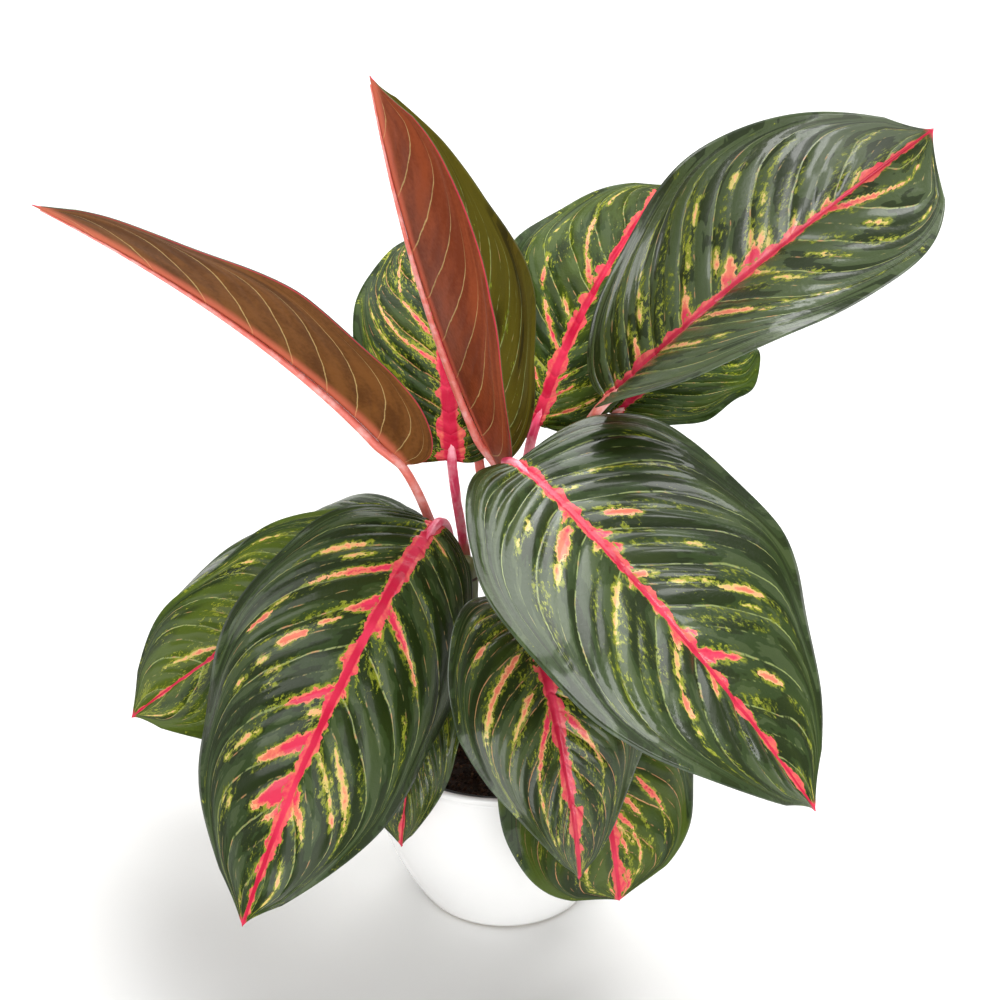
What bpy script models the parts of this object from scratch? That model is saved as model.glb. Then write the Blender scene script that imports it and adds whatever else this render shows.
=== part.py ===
"""Chinese evergreen with pink and green leaves, potted in a white cover pot: CAD source.

Every leaf with its stalk, both canes, the potting mix, the nursery pot and the cover pot are objects of
their own. The leaf table is in millimetres and degrees, everything else is in metres, +Z is up.
"""

import math

import bpy
import numpy as np

MM = 0.001
GAP = 0.0003

# Cover pot: white glazed, full sides that steepen towards a rounded lip
COVER_HEIGHT = 0.090
COVER_BASE_RADIUS = 0.0385
COVER_RIM_RADIUS = 0.066
COVER_FULLNESS = 0.7
COVER_WALL = 0.003
COVER_FLOOR = 0.004
COVER_FOOT_ROUND = 0.0015
COVER_LIP_BAND = 0.0035
COVER_LIP_STEP = 0.0004
COVER_SEGMENTS = 44

# Nursery pot: thin black plastic, straight taper, turned-out lip, drain holes in its floor
NURSERY_TOP = 0.087
NURSERY_BASE_RADIUS = 0.034
NURSERY_TOP_RADIUS = 0.0588
NURSERY_LIP_RADIUS = 0.0618
NURSERY_LIP_HEIGHT = 0.003
NURSERY_WALL = 0.0012
NURSERY_FLOOR = 0.0015
NURSERY_SEGMENTS = 36
DRAIN_HOLES = 6
DRAIN_RADIUS = 0.004
DRAIN_CIRCLE = 0.023

# Potting mix: fills the nursery pot, lumpy on top
MIX_TOP = 0.082
MIX_LUMP = 0.0012
MIX_SEGMENTS = 36
MIX_RINGS = (0.25, 0.48, 0.68, 0.86, 1.0)

# Canes: upright ringed stems, (x, y, top) in millimetres
CANES = {"left": (-18, -2, 180), "right": (6, 4, 188)}
CANE_RADIUS = 0.006
CANE_BOTTOM = 0.035
CANE_SCAR_DEPTH = 0.0004
CANE_SCAR_PITCH = 0.016
CANE_SIDES = 14

# Leaf stalks and blades
STALK_RADII = (0.0033, 0.0023, 0.0021)
STALK_END_RADIUS = 0.0013
STALK_SIDES = 6
BLADE_THICKNESS = 0.0008
BLADE_ROWS = 13
BLADE_COLUMNS = (-1, -0.68, -0.36, -0.06, 0, 0.06, 0.36, 0.68, 1)
QUILT_HEIGHT = 0.0008
KEEL_DEPTH = (0.004, 0.001)
RIB_STEPS = 64
WIDEST = 0.42
DRIP_START = 0.86

# Leaf defaults. Pairs are (left half, right half) except pitch and roll, which are (base, tip)
LEAF_DEFAULTS = dict(
    turn=0, roll=(0, 0), rise=(12, 12), curl=(-25, -25), wave=2.0, waves=2.5, phase=0.0, lobe=0.03,
    bend=0.6, blunt=(2.1, 2.1), base_round=(0.62, 0.62), spring=1.0,
)

# The leaves: where the stalk leaves its cane, where the blade starts, which way it runs and how it bends
LEAVES = {
    "leaf_01": dict(
        cane="left", foot=(180, 174), base=(-46, -8, 230), heading=187, pitch=(57, 31), length=206,
        width=(42, 34), roll=(30, 15), rise=(32, 32), curl=(-5, -40), wave=1.0, base_round=(0.9, 0.9),
    ),
    "leaf_02": dict(
        cane="right", foot=(169, 184), base=(-4, 8, 222), heading=190, pitch=(66, 81), length=198,
        width=(50, 50), roll=(-20, 5), rise=(28, 50), curl=(15, 10), wave=1.0, bend=0.8,
        blunt=(3.6, 1.8), base_round=(1.1, 1.3),
    ),
    "leaf_03": dict(
        cane="left", foot=(90, 168), base=(-24, 12, 222), heading=95, pitch=(45, 0), length=148,
        width=(42, 38), rise=(15, -5), curl=(-20, -20), bend=1.0, base_round=(0.62, 1.0),
    ),
    "leaf_04": dict(
        cane="right", foot=(80, 168), base=(14, 20, 236), heading=60, pitch=(49, 9), length=152,
        width=(47, 46), rise=(22, 17), curl=(-20, -20), bend=1.0,
    ),
    "leaf_05": dict(
        cane="right", foot=(8, 178), base=(45, -2, 259), heading=8, pitch=(45, 36), length=187,
        width=(56, 50), roll=(0, 72), rise=(28, 30), curl=(-15, -20), bend=1.0, blunt=(2.6, 6.0),
        base_round=(1.1, 0.62),
    ),
    "leaf_06": dict(
        cane="right", foot=(25, 152), base=(50, 10, 246), heading=52, pitch=(16, -22), length=112,
        width=(40, 37), rise=(5, 5), curl=(-30, -30), bend=1.0, blunt=(2.1, 1.6),
    ),
    "leaf_07": dict(
        cane="right", foot=(315, 170), base=(4, -34, 244), heading=-52, pitch=(8, -54), turn=35,
        length=208, width=(81, 73), rise=(16, 8), curl=(-15, -22), bend=0.4, blunt=(2.2, 2.1),
        base_round=(0.62, 1.3), spring=2.0,
    ),
    "leaf_08": dict(
        cane="left", foot=(239, 152), base=(-30, -20, 207), heading=-117, pitch=(5, -66), turn=-22,
        length=208, width=(60, 78), roll=(-5, 0), rise=(-26, 0), curl=(-70, -24), bend=0.45,
        blunt=(1.8, 2.6), base_round=(1.2, 0.75),
    ),
    "leaf_09": dict(
        cane="left", foot=(190, 134), base=(-42, -8, 188), heading=185, pitch=(-20, -40), length=158,
        width=(58, 54), roll=(-6, -8), rise=(-20, 26), curl=(-35, -30), blunt=(2.1, 2.8),
        base_round=(0.62, 1.1),
    ),
    "leaf_10": dict(
        cane="left", foot=(149, 146), base=(-34, 22, 168), heading=161, pitch=(8, -44), length=167,
        width=(44, 66), rise=(3, 10), blunt=(2.1, 2.8), base_round=(0.62, 2.0),
    ),
    "leaf_11": dict(
        cane="right", foot=(270, 134), base=(9, -48, 184), heading=-77, pitch=(-10, -85), turn=20,
        length=134, width=(46, 46), blunt=(1.4, 1.3),
    ),
    "leaf_12": dict(
        cane="right", foot=(300, 116), base=(19, -34, 160), heading=-54, pitch=(-35, -82), length=133,
        width=(50, 52), rise=(12, 5), curl=(-20, -20), blunt=(4.5, 4.5), base_round=(0.8, 0.8),
    ),
    "leaf_13": dict(
        cane="left", foot=(270, 126), base=(-24, -24, 160), heading=-120, pitch=(-35, -82), length=111,
        width=(23, 28), rise=(12, 30), base_round=(0.9, 0.9),
    ),
    "leaf_14": dict(
        cane="right", foot=(99, 140), base=(-12, 32, 222), heading=85, pitch=(25, -50), length=130,
        width=(36, 36), rise=(5, 5), curl=(-20, -20), bend=1.0,
    ),
}

# Colours (linear) and roughness
CERAMIC_WHITE = (0.82, 0.82, 0.80)
PLASTIC_BLACK = (0.012, 0.012, 0.013)
MIX_BROWN = (0.045, 0.024, 0.015)
CANE_GREEN = (0.16, 0.20, 0.07)
LEAF_GREEN = (0.035, 0.085, 0.035)


# Leaf shape


def unit(vectors):
    """The vectors, or one vector, at length one."""
    vectors = np.asarray(vectors, float)
    return vectors / np.linalg.norm(vectors, axis=-1, keepdims=True)


def with_defaults(leaf):
    """A leaf's full set of values."""
    return {**LEAF_DEFAULTS, **leaf}


def halves(pair, side):
    """The left or the right value of a pair, by the sign of side."""
    return np.where(side < 0, pair[0], pair[1])


def outline(t, lobe, blunt, base_round):
    """Half width (share of the widest) and place along the rib of the leaf edge, from base to tip."""
    angle = np.clip(t / WIDEST, 0, 1) * math.pi / 2
    low_width = np.sin(angle) ** base_round
    low_place = WIDEST * (1 - np.cos(angle))
    q = np.clip((t - WIDEST) / (1 - WIDEST), 0, 1)
    drip = (1 - DRIP_START ** blunt) * np.clip((1 - q) / (1 - DRIP_START), 0, 1) ** 1.35
    high_width = np.where(q > DRIP_START, drip, 1 - q ** blunt)
    high_place = WIDEST + (1 - WIDEST) * q
    width = np.where(t < WIDEST, low_width, high_width)
    place = np.where(t < WIDEST, low_place, high_place)
    return width, place - lobe * np.sin(np.clip(t / 0.25, 0, 1) * math.pi)


def vein_start(t):
    """Place along the rib where the side vein that ends at t on the edge leaves it."""
    return 0.985 * (0.02 * t + 0.98 * t ** 1.55)


def rib_frames(leaf):
    """Stations along the midrib: place, direction, right-hand side and upper side."""
    v = np.linspace(0, 1, RIB_STEPS + 1)
    first, last = leaf["pitch"]
    pitch = np.radians(first + (last - first) * v ** leaf["bend"])
    heading = np.radians(leaf["heading"] + leaf["turn"] * v)
    roll = np.radians(leaf["roll"][0] + (leaf["roll"][1] - leaf["roll"][0]) * v)[:, None]
    level = np.stack([np.cos(heading), np.sin(heading), 0 * heading], axis=1)
    up = np.array([0, 0, 1.0])
    along = level * np.cos(pitch)[:, None] + up * np.sin(pitch)[:, None]
    over = up * np.cos(pitch)[:, None] - level * np.sin(pitch)[:, None]
    right = np.cross(along, over)
    steps = (along[1:] + along[:-1]) / 2 * leaf["length"] * MM / RIB_STEPS
    base = np.array(leaf["base"]) * MM
    return {
        "place": np.vstack([base, base + np.cumsum(steps, axis=0)]),
        "along": along,
        "right": right * np.cos(roll) - over * np.sin(roll),
        "over": over * np.cos(roll) + right * np.sin(roll),
    }


def rib_at(frames, y):
    """The frames read at places y along the rib. Below 0 the rib runs on straight."""
    stations = np.linspace(0, 1, RIB_STEPS + 1)
    found = {}
    for name, values in frames.items():
        parts = [np.interp(y, stations, values[:, axis]) for axis in range(3)]
        found[name] = np.stack(parts, axis=-1)
    return found


def blade_points(leaf, frames, t, side, lift):
    """Points of the blade's middle surface. side runs from -1, left edge, to 1, right edge."""
    width, edge_place = outline(t, leaf["lobe"], halves(leaf["blunt"], side), halves(leaf["base_round"], side))
    across = np.abs(side)
    start = vein_start(t)
    y = start + (edge_place - start) * (0.45 * across + 0.55 * across ** 2)
    full = halves(leaf["width"], side) * MM
    x = full * width * across
    rise = np.radians(halves(leaf["rise"], side))
    bend = np.radians(halves(leaf["curl"], side)) / full
    out = (np.sin(rise + bend * x) - np.sin(rise)) / bend
    height = (np.cos(rise) - np.cos(rise + bend * x)) / bend
    phase = leaf["phase"] + halves((0, 1.7), side)
    ripple = np.sin(2 * math.pi * leaf["waves"] * y + phase) * across ** 2 * np.clip(1.3 * width, 0, 1)
    height = height + leaf["wave"] * MM * ripple + lift
    at = rib_at(frames, y)
    beyond = ((y - np.clip(y, 0, 1)) * leaf["length"] * MM)[..., None]
    spot = at["place"] + unit(at["along"]) * beyond
    return spot + unit(at["right"]) * (np.sign(side) * out)[..., None] + unit(at["over"]) * height[..., None]


def blade_faces(leaf, frames):
    """Top and bottom point grids of the blade: quilted between the side veins, keeled under the rib."""
    rows = np.linspace(0, 1, BLADE_ROWS + 1)
    t, side = np.meshgrid(rows, np.array(BLADE_COLUMNS, float), indexing="ij")
    sign = np.where(np.arange(BLADE_ROWS + 1) % 2 == 0, -1, 1)[:, None]
    inner = (t > 0.02) & (t < 0.97)
    lift = QUILT_HEIGHT * np.sin(math.pi * np.abs(side)) * sign * inner
    middle = blade_points(leaf, frames, t, side, lift)
    normals = np.cross(np.gradient(middle, axis=1), np.gradient(middle, axis=0))
    normals[0] = frames["over"][0]
    normals[-1] = frames["over"][-1]
    normals = unit(normals)
    keel = KEEL_DEPTH[0] + (KEEL_DEPTH[1] - KEEL_DEPTH[0]) * t
    depth = np.where(np.abs(side) < 0.01, keel, BLADE_THICKNESS / 2)
    return middle + normals * BLADE_THICKNESS / 2, middle - normals * depth[..., None]


def blade_mesh(leaf, frames):
    """Closed triangle mesh of a blade. The first and last rows are points, and both faces split alike."""
    top, bottom = blade_faces(leaf, frames)
    last_row, last_column = top.shape[0] - 1, top.shape[1] - 1
    middle_column = last_column // 2
    points, index, triangles = [], {}, []

    def corner(grid, row, column):
        end = row in (0, last_row)
        key = (grid is top, row, middle_column if end else column)
        if key not in index:
            index[key] = len(points)
            points.append(grid[row, key[2]])
        return index[key]

    def add(triangle, turned):
        if len(set(triangle)) == 3:
            triangles.append(triangle[::-1] if turned else triangle)

    for row in range(last_row):
        for column in range(last_column):
            for grid in (top, bottom):
                a = corner(grid, row, column)
                b = corner(grid, row, column + 1)
                c = corner(grid, row + 1, column + 1)
                d = corner(grid, row + 1, column)
                left = column < middle_column
                for triangle in ((a, b, c), (a, c, d)) if left else ((a, b, d), (b, c, d)):
                    add(triangle, grid is bottom)
        for column, turned in ((0, False), (last_column, True)):
            a = corner(top, row, column)
            b = corner(top, row + 1, column)
            c = corner(bottom, row + 1, column)
            d = corner(bottom, row, column)
            add((a, b, c), turned)
            add((a, c, d), turned)
    return points, triangles


def stalk_line(leaf, frames):
    """Centre points and radii of a stalk: out of its cane, up in an arch and into the blade's keel."""
    x, y, _ = CANES[leaf["cane"]]
    angle, height = leaf["foot"]
    outward = np.array([math.cos(math.radians(angle)), math.sin(math.radians(angle)), 0])
    axis = np.array([x, y, height]) * MM
    foot = axis + outward * CANE_RADIUS
    base = frames["place"][0]
    span = np.linalg.norm(base - foot)
    leaving = unit(outward * 0.45 + np.array([0, 0, 0.9])) * span * leaf["spring"]
    arriving = frames["along"][0] * span * 0.9
    u = np.linspace(0, 1, 8)[:, None]
    arch = (2 * u ** 3 - 3 * u ** 2 + 1) * foot + (u ** 3 - 2 * u ** 2 + u) * leaving
    arch = arch + (3 * u ** 2 - 2 * u ** 3) * base + (u ** 3 - u ** 2) * arriving
    inside = rib_at(frames, np.array([0.04, 0.1]))
    sunk = inside["place"] - unit(inside["over"]) * np.array([[0.0008], [0.0012]])
    line = np.vstack([axis + outward * 0.002 - np.array([0, 0, 0.006]), arch, sunk])
    radii = np.interp(u[:, 0], (0, 0.25, 1), STALK_RADII)
    return line, np.concatenate([[STALK_RADII[0]], radii, [STALK_RADII[2] * 0.85, STALK_END_RADIUS]])


def tube_mesh(line, radii, sides):
    """Closed triangle mesh of a tube along a line of points."""
    along = unit(np.gradient(line, axis=0))
    over = unit(np.cross(along[0], [0.3, 0.5, 0.1]))
    points, triangles = [], []
    for spot, direction, radius in zip(line, along, radii):
        over = unit(over - direction * np.dot(over, direction))
        across = np.cross(direction, over)
        for k in range(sides):
            turn = 2 * math.pi * k / sides
            points.append(spot + (over * math.cos(turn) + across * math.sin(turn)) * radius)
    rings = len(line)
    for ring in range(rings - 1):
        for k in range(sides):
            a, b = ring * sides + k, ring * sides + (k + 1) % sides
            triangles.append((a, b, b + sides))
            triangles.append((a, b + sides, a + sides))
    points.append(line[0])
    points.append(line[-1])
    first, last, top = len(points) - 2, len(points) - 1, (rings - 1) * sides
    for k in range(sides):
        triangles.append((first, (k + 1) % sides, k))
        triangles.append((last, top + k, top + (k + 1) % sides))
    return points, triangles


# Turned shapes


def lathe_mesh(profile, segments, lift=None):
    """Closed mesh of a profile of (radius, height) turned about Z, going up the outside.

    Where the radius is 0 the ring is one point. lift(x, y) moves a point up, and is used for the mix.
    """
    points, rings, faces = [], [], []
    for radius, height in profile:
        count = segments if radius > 0 else 1
        rings.append([len(points) + k for k in range(count)])
        for k in range(count):
            turn = 2 * math.pi * k / segments
            points.append((radius * math.cos(turn), radius * math.sin(turn), height))
    for low, high in zip(rings, rings[1:]):
        for k in range(segments):
            a, b = low[k % len(low)], low[(k + 1) % len(low)]
            c, d = high[(k + 1) % len(high)], high[k % len(high)]
            face = [a, b, c, d]
            faces.append([v for i, v in enumerate(face) if v not in face[:i]])
    if lift:
        points = [(x, y, z + lift(x, y, z)) for x, y, z in points]
    return points, faces


def cover_radius(height):
    """Outer radius of the cover pot at a height."""
    u = height / COVER_HEIGHT
    full = COVER_FULLNESS * (1 - (1 - u) ** 3) + (1 - COVER_FULLNESS) * u
    return COVER_BASE_RADIUS + (COVER_RIM_RADIUS - COVER_BASE_RADIUS) * full


def cover_profile():
    """Outside, lip and inside of the cover pot."""
    heights = [COVER_HEIGHT * u for u in (0.06, 0.14, 0.25, 0.38, 0.54, 0.74)]
    band = COVER_HEIGHT - COVER_LIP_BAND
    outside = [(0, 0), (cover_radius(0) - 0.0008, 0), (cover_radius(COVER_FOOT_ROUND), COVER_FOOT_ROUND)]
    outside += [(cover_radius(height), height) for height in heights]
    outside += [(cover_radius(band) - COVER_LIP_STEP, band - 0.0004), (cover_radius(band), band + 0.0002)]
    half = COVER_WALL / 2
    lip = []
    for degrees in (0, 45, 90, 135, 180):
        turn = math.radians(degrees)
        lip.append((COVER_RIM_RADIUS - half + half * math.cos(turn), COVER_HEIGHT - half + half * math.sin(turn)))
    inside = [(cover_radius(height) - COVER_WALL, height) for height in heights[::-1] if height > 0.012]
    corner = cover_radius(COVER_FLOOR) - COVER_WALL
    inside += [(corner + 0.0012, COVER_FLOOR + 0.004), (corner - 0.003, COVER_FLOOR), (0, COVER_FLOOR)]
    return outside + lip + inside


def nursery_radius(height):
    """Outer radius of the nursery pot at a height."""
    low = COVER_FLOOR + GAP
    share = (height - low) / (NURSERY_TOP - low)
    return NURSERY_BASE_RADIUS + (NURSERY_TOP_RADIUS - NURSERY_BASE_RADIUS) * share


def nursery_profile():
    """Outside, turned-out lip and inside of the nursery pot."""
    low = COVER_FLOOR + GAP
    under = NURSERY_TOP - NURSERY_LIP_HEIGHT
    inner = low + NURSERY_FLOOR
    return [
        (0, low),
        (NURSERY_BASE_RADIUS - 0.001, low),
        (nursery_radius(low + 0.001), low + 0.001),
        (nursery_radius(under), under),
        (NURSERY_LIP_RADIUS, under + 0.0004),
        (NURSERY_LIP_RADIUS, NURSERY_TOP - 0.0005),
        (NURSERY_LIP_RADIUS - 0.0007, NURSERY_TOP),
        (nursery_radius(NURSERY_TOP) - NURSERY_WALL + 0.0006, NURSERY_TOP),
        (nursery_radius(under) - NURSERY_WALL, under),
        (nursery_radius(inner) - NURSERY_WALL, inner),
        (0, inner),
    ]


def mix_profile():
    """Bottom, side and top rings of the potting mix."""
    low = COVER_FLOOR + GAP + NURSERY_FLOOR + GAP
    clear = NURSERY_WALL + GAP
    shoulder = MIX_TOP - 0.001
    rim = nursery_radius(shoulder) - clear
    profile = [(0, low), (nursery_radius(low) - clear, low), (rim, shoulder)]
    profile += [(rim * share, MIX_TOP) for share in MIX_RINGS[-2::-1]]
    return profile + [(0, MIX_TOP)]


def mix_lift(x, y, z):
    """Lumps of the mix: none below its top, and little at the wall."""
    if z < MIX_TOP:
        return 0
    lumps = math.sin(190 * x + 60 * y) + math.sin(230 * y - 90 * x + 1) + 0.6 * math.sin(410 * x + 330 * y)
    near_wall = 1 - min(1, math.hypot(x, y) / nursery_radius(MIX_TOP)) ** 6
    return MIX_LUMP * lumps * (0.15 + 0.85 * near_wall)


def cane_profile(top):
    """Buried end, ringed length and rounded top of a cane."""
    profile = [(0, CANE_BOTTOM), (CANE_RADIUS - 0.001, CANE_BOTTOM), (CANE_RADIUS, CANE_BOTTOM + 0.002)]
    height = MIX_TOP + 0.008
    while height < top - 0.012:
        profile += [
            (CANE_RADIUS, height - 0.0012),
            (CANE_RADIUS - CANE_SCAR_DEPTH, height),
            (CANE_RADIUS, height + 0.0004),
        ]
        height += CANE_SCAR_PITCH
    profile += [(CANE_RADIUS, top - 0.004), (CANE_RADIUS * 0.75, top - 0.001), (0, top)]
    return profile


def rod_profile(radius, low, high):
    """A plain rod."""
    return [(0, low), (radius, low), (radius, high), (0, high)]


# Objects


def clear_scene():
    """Removes what the scene starts with."""
    for obj in list(bpy.data.objects):
        bpy.data.objects.remove(obj, do_unlink=True)


def make_material(name, colour, roughness, coat=0.0):
    """A Principled material with its own name."""
    material = bpy.data.materials.new(name)
    material.use_nodes = True
    shader = material.node_tree.nodes["Principled BSDF"]
    shader.inputs["Base Color"].default_value = (*colour, 1)
    shader.inputs["Roughness"].default_value = roughness
    shader.inputs["Metallic"].default_value = 0
    shader.inputs["Coat Weight"].default_value = coat
    material.diffuse_color = (*colour, 1)
    return material


def make_object(name, mesh_data, place=(0, 0, 0)):
    """A mesh object from points and faces, moved by place."""
    points, faces = mesh_data
    mesh = bpy.data.meshes.new(name)
    moved = [tuple(float(value) + shift for value, shift in zip(point, place)) for point in points]
    mesh.from_pydata(moved, [], [tuple(face) for face in faces])
    mesh.validate()
    mesh.update()
    obj = bpy.data.objects.new(name, mesh)
    bpy.context.scene.collection.objects.link(obj)
    return obj


def make_helper(name, mesh_data, place=(0, 0, 0)):
    """An object used only by Booleans."""
    helper = make_object(name, mesh_data, place)
    helper.hide_render = True
    helper.display_type = "WIRE"
    return helper


def add_boolean(obj, operation, other, solver="EXACT"):
    """A live Boolean on obj."""
    modifier = obj.modifiers.new(f"{operation.lower()}_{other.name}", "BOOLEAN")
    modifier.operation = operation
    modifier.solver = solver
    modifier.object = other


def build_cover_pot():
    """White glazed pot, plain, with a flat base."""
    pot = make_object("cover_pot", lathe_mesh(cover_profile(), COVER_SEGMENTS))
    pot.data.materials.append(make_material("white_glaze", CERAMIC_WHITE, 0.12, coat=0.6))


def build_nursery_pot():
    """Black plastic pot with a ring of drain holes."""
    pot = make_object("nursery_pot", lathe_mesh(nursery_profile(), NURSERY_SEGMENTS))
    pot.data.materials.append(make_material("black_plastic", PLASTIC_BLACK, 0.45))
    rod = rod_profile(DRAIN_RADIUS, COVER_FLOOR - 0.001, COVER_FLOOR + GAP + NURSERY_FLOOR + 0.001)
    for k in range(DRAIN_HOLES):
        turn = 2 * math.pi * (k + 0.5) / DRAIN_HOLES
        place = (DRAIN_CIRCLE * math.cos(turn), DRAIN_CIRCLE * math.sin(turn), 0)
        drain = make_helper(f"drain_{k + 1}", lathe_mesh(rod, 12), place)
        # EXACT leaves three open edges in the pot's fanned floor
        add_boolean(pot, "DIFFERENCE", drain, "MANIFOLD")


def build_potting_mix():
    """Mix with a plain hole for each cane."""
    mix = make_object("potting_mix", lathe_mesh(mix_profile(), MIX_SEGMENTS, mix_lift))
    mix.data.materials.append(make_material("potting_mix", MIX_BROWN, 0.95))
    rod = rod_profile(CANE_RADIUS + 1.2 * GAP, CANE_BOTTOM - GAP, MIX_TOP + 0.02)
    for side, (x, y, _) in CANES.items():
        hole = make_helper(f"hole_{side}", lathe_mesh(rod, CANE_SIDES), (x * MM, y * MM, 0))
        add_boolean(mix, "DIFFERENCE", hole)


def build_canes():
    """The two canes, and for each a rod that keeps the leaf stalks a gap away from it."""
    sockets = {}
    for side, (x, y, top) in CANES.items():
        place = (x * MM, y * MM, 0)
        cane = make_object(f"cane_{side}", lathe_mesh(cane_profile(top * MM), CANE_SIDES), place)
        cane.data.materials.append(make_material(f"cane_{side}", CANE_GREEN, 0.5))
        rod = rod_profile(CANE_RADIUS + 1.2 * GAP, MIX_TOP, top * MM + GAP)
        sockets[side] = make_helper(f"socket_{side}", lathe_mesh(rod, CANE_SIDES), place)
    return sockets


def build_leaves(sockets):
    """Each leaf: a blade, its stalk joined on, and the stalk's foot trimmed to its cane."""
    for name, values in LEAVES.items():
        leaf = with_defaults(values)
        frames = rib_frames(leaf)
        obj = make_object(name, blade_mesh(leaf, frames))
        obj.data.materials.append(make_material(name, LEAF_GREEN, 0.3, coat=0.3))
        stalk = make_helper(f"stalk_{name}", tube_mesh(*stalk_line(leaf, frames), STALK_SIDES))
        add_boolean(obj, "UNION", stalk)
        add_boolean(obj, "DIFFERENCE", sockets[leaf["cane"]])


clear_scene()
build_cover_pot()
build_nursery_pot()
build_potting_mix()
build_leaves(build_canes())
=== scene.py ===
"""Chinese evergreen with pink and green leaves in a white cover pot: looks, built around its CAD part.

The sections follow the plant as it is potted: cover pot, nursery pot, potting mix, canes, leaf stalks,
leaf blades, then the studio. Sizes are in metres unless a comment says otherwise.
"""

import math

import bpy
import numpy as np
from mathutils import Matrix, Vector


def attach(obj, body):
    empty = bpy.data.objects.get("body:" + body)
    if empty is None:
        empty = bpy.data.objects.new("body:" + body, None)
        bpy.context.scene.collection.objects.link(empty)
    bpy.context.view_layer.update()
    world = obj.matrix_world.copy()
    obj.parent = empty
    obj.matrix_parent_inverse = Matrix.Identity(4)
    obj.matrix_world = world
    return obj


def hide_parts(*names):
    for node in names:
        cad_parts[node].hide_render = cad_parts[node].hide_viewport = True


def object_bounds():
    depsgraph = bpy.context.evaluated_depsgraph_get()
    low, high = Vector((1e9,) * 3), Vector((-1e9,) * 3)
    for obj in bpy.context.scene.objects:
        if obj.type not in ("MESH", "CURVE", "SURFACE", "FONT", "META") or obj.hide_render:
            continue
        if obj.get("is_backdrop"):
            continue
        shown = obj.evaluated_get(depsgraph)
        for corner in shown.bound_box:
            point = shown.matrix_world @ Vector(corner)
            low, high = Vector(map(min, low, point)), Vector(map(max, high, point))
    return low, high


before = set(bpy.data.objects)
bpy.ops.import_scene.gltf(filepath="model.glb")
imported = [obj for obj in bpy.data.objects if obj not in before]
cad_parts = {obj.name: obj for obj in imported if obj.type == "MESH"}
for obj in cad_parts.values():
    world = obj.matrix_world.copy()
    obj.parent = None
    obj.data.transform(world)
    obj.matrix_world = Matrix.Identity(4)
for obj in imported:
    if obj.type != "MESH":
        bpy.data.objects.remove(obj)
cad_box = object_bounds()

# Cover pot
# White glazed stoneware, slip cast, with full sides that steepen towards a rounded lip.
# The glaze is wiped off the foot ring before firing, so a thin band of bare clay shows there.

MM = 0.001
COVER_HEIGHT = 0.090
COVER_BASE_RADIUS = 0.0385
COVER_RIM_RADIUS = 0.066
COVER_FULLNESS = 0.7
COVER_WALL = 0.003
COVER_FLOOR = 0.004
LIP_BAND = 0.0035
LIP_STEP = 0.0004
GLAZE_WHITE = (0.95, 0.95, 0.945, 1)
# A greyer white: the glaze's uneven clouds, and the painted shade under the lip
GLAZE_GREY_AND_SHADE = (0.85, 0.855, 0.85, 1)
BARE_CLAY = (0.55, 0.50, 0.43, 1)


class Figure:
    """A number worked out inside a node tree, written as plain sums."""

    def __init__(self, tree, out):
        self.tree = tree
        self.out = out

    def work(self, operation, *others):
        step = self.tree.nodes.new("ShaderNodeMath")
        step.operation = operation
        for socket, value in zip(step.inputs, (self, *others)):
            plug(self.tree, socket, value)
        return Figure(self.tree, step.outputs[0])

    def __add__(self, other):
        return self.work("ADD", other)

    def __sub__(self, other):
        return self.work("SUBTRACT", other)

    def __rsub__(self, other):
        return (self * -1).work("ADD", other)

    def __mul__(self, other):
        return self.work("MULTIPLY", other)

    def __truediv__(self, other):
        return self.work("DIVIDE", other)

    def __pow__(self, other):
        return self.work("POWER", other)

    def sine(self):
        return self.work("SINE")

    def cosine(self):
        return self.work("COSINE")

    def size(self):
        return self.work("ABSOLUTE")

    def whole(self):
        return self.work("FLOOR")

    def over(self, limit):
        return self.work("GREATER_THAN", limit)

    def between(self, low, high):
        return self.work("MAXIMUM", low).work("MINIMUM", high)

    def either(self, when_nought, when_one):
        return when_nought * (1 - self) + when_one * self

    __radd__ = __add__
    __rmul__ = __mul__


def plug(tree, socket, value):
    """Gives a socket a figure, another socket or a plain value."""
    if isinstance(value, Figure):
        value = value.out
    if isinstance(value, bpy.types.NodeSocket):
        tree.links.new(value, socket)
    else:
        socket.default_value = value


def put(tree, kind, inputs=None, **settings):
    """A new node with its settings, and its inputs by name or number."""
    step = tree.nodes.new(kind)
    for name, value in settings.items():
        setattr(step, name, value)
    for key, value in (inputs or {}).items():
        shown = [socket for socket in step.inputs if socket.enabled]
        socket = shown[key] if isinstance(key, int) else next(s for s in shown if s.name == key)
        plug(tree, socket, value)
    return step


def made_vector(tree, x, y, z):
    """A vector from three figures."""
    return put(tree, "ShaderNodeCombineXYZ", {0: x, 1: y, 2: z}).outputs[0]


def vector_parts(tree, vector):
    """The three figures of a vector."""
    parts = put(tree, "ShaderNodeSeparateXYZ", {0: vector})
    return [Figure(tree, out) for out in parts.outputs]


def start_recipe(name, inputs):
    """A Geometry Nodes tree with named inputs. Returns the tree, its inputs by name and its output node."""
    tree = bpy.data.node_groups.new(name, "GeometryNodeTree")
    tree.interface.new_socket(name="Geometry", in_out="INPUT", socket_type="NodeSocketGeometry")
    for label, kind in inputs.items():
        tree.interface.new_socket(name=label, in_out="INPUT", socket_type="NodeSocket" + kind)
    tree.interface.new_socket(name="Geometry", in_out="OUTPUT", socket_type="NodeSocketGeometry")
    given = tree.nodes.new("NodeGroupInput")
    by_name = {socket.name: socket for socket in given.outputs if socket.name}
    return tree, by_name, tree.nodes.new("NodeGroupOutput")


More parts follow.
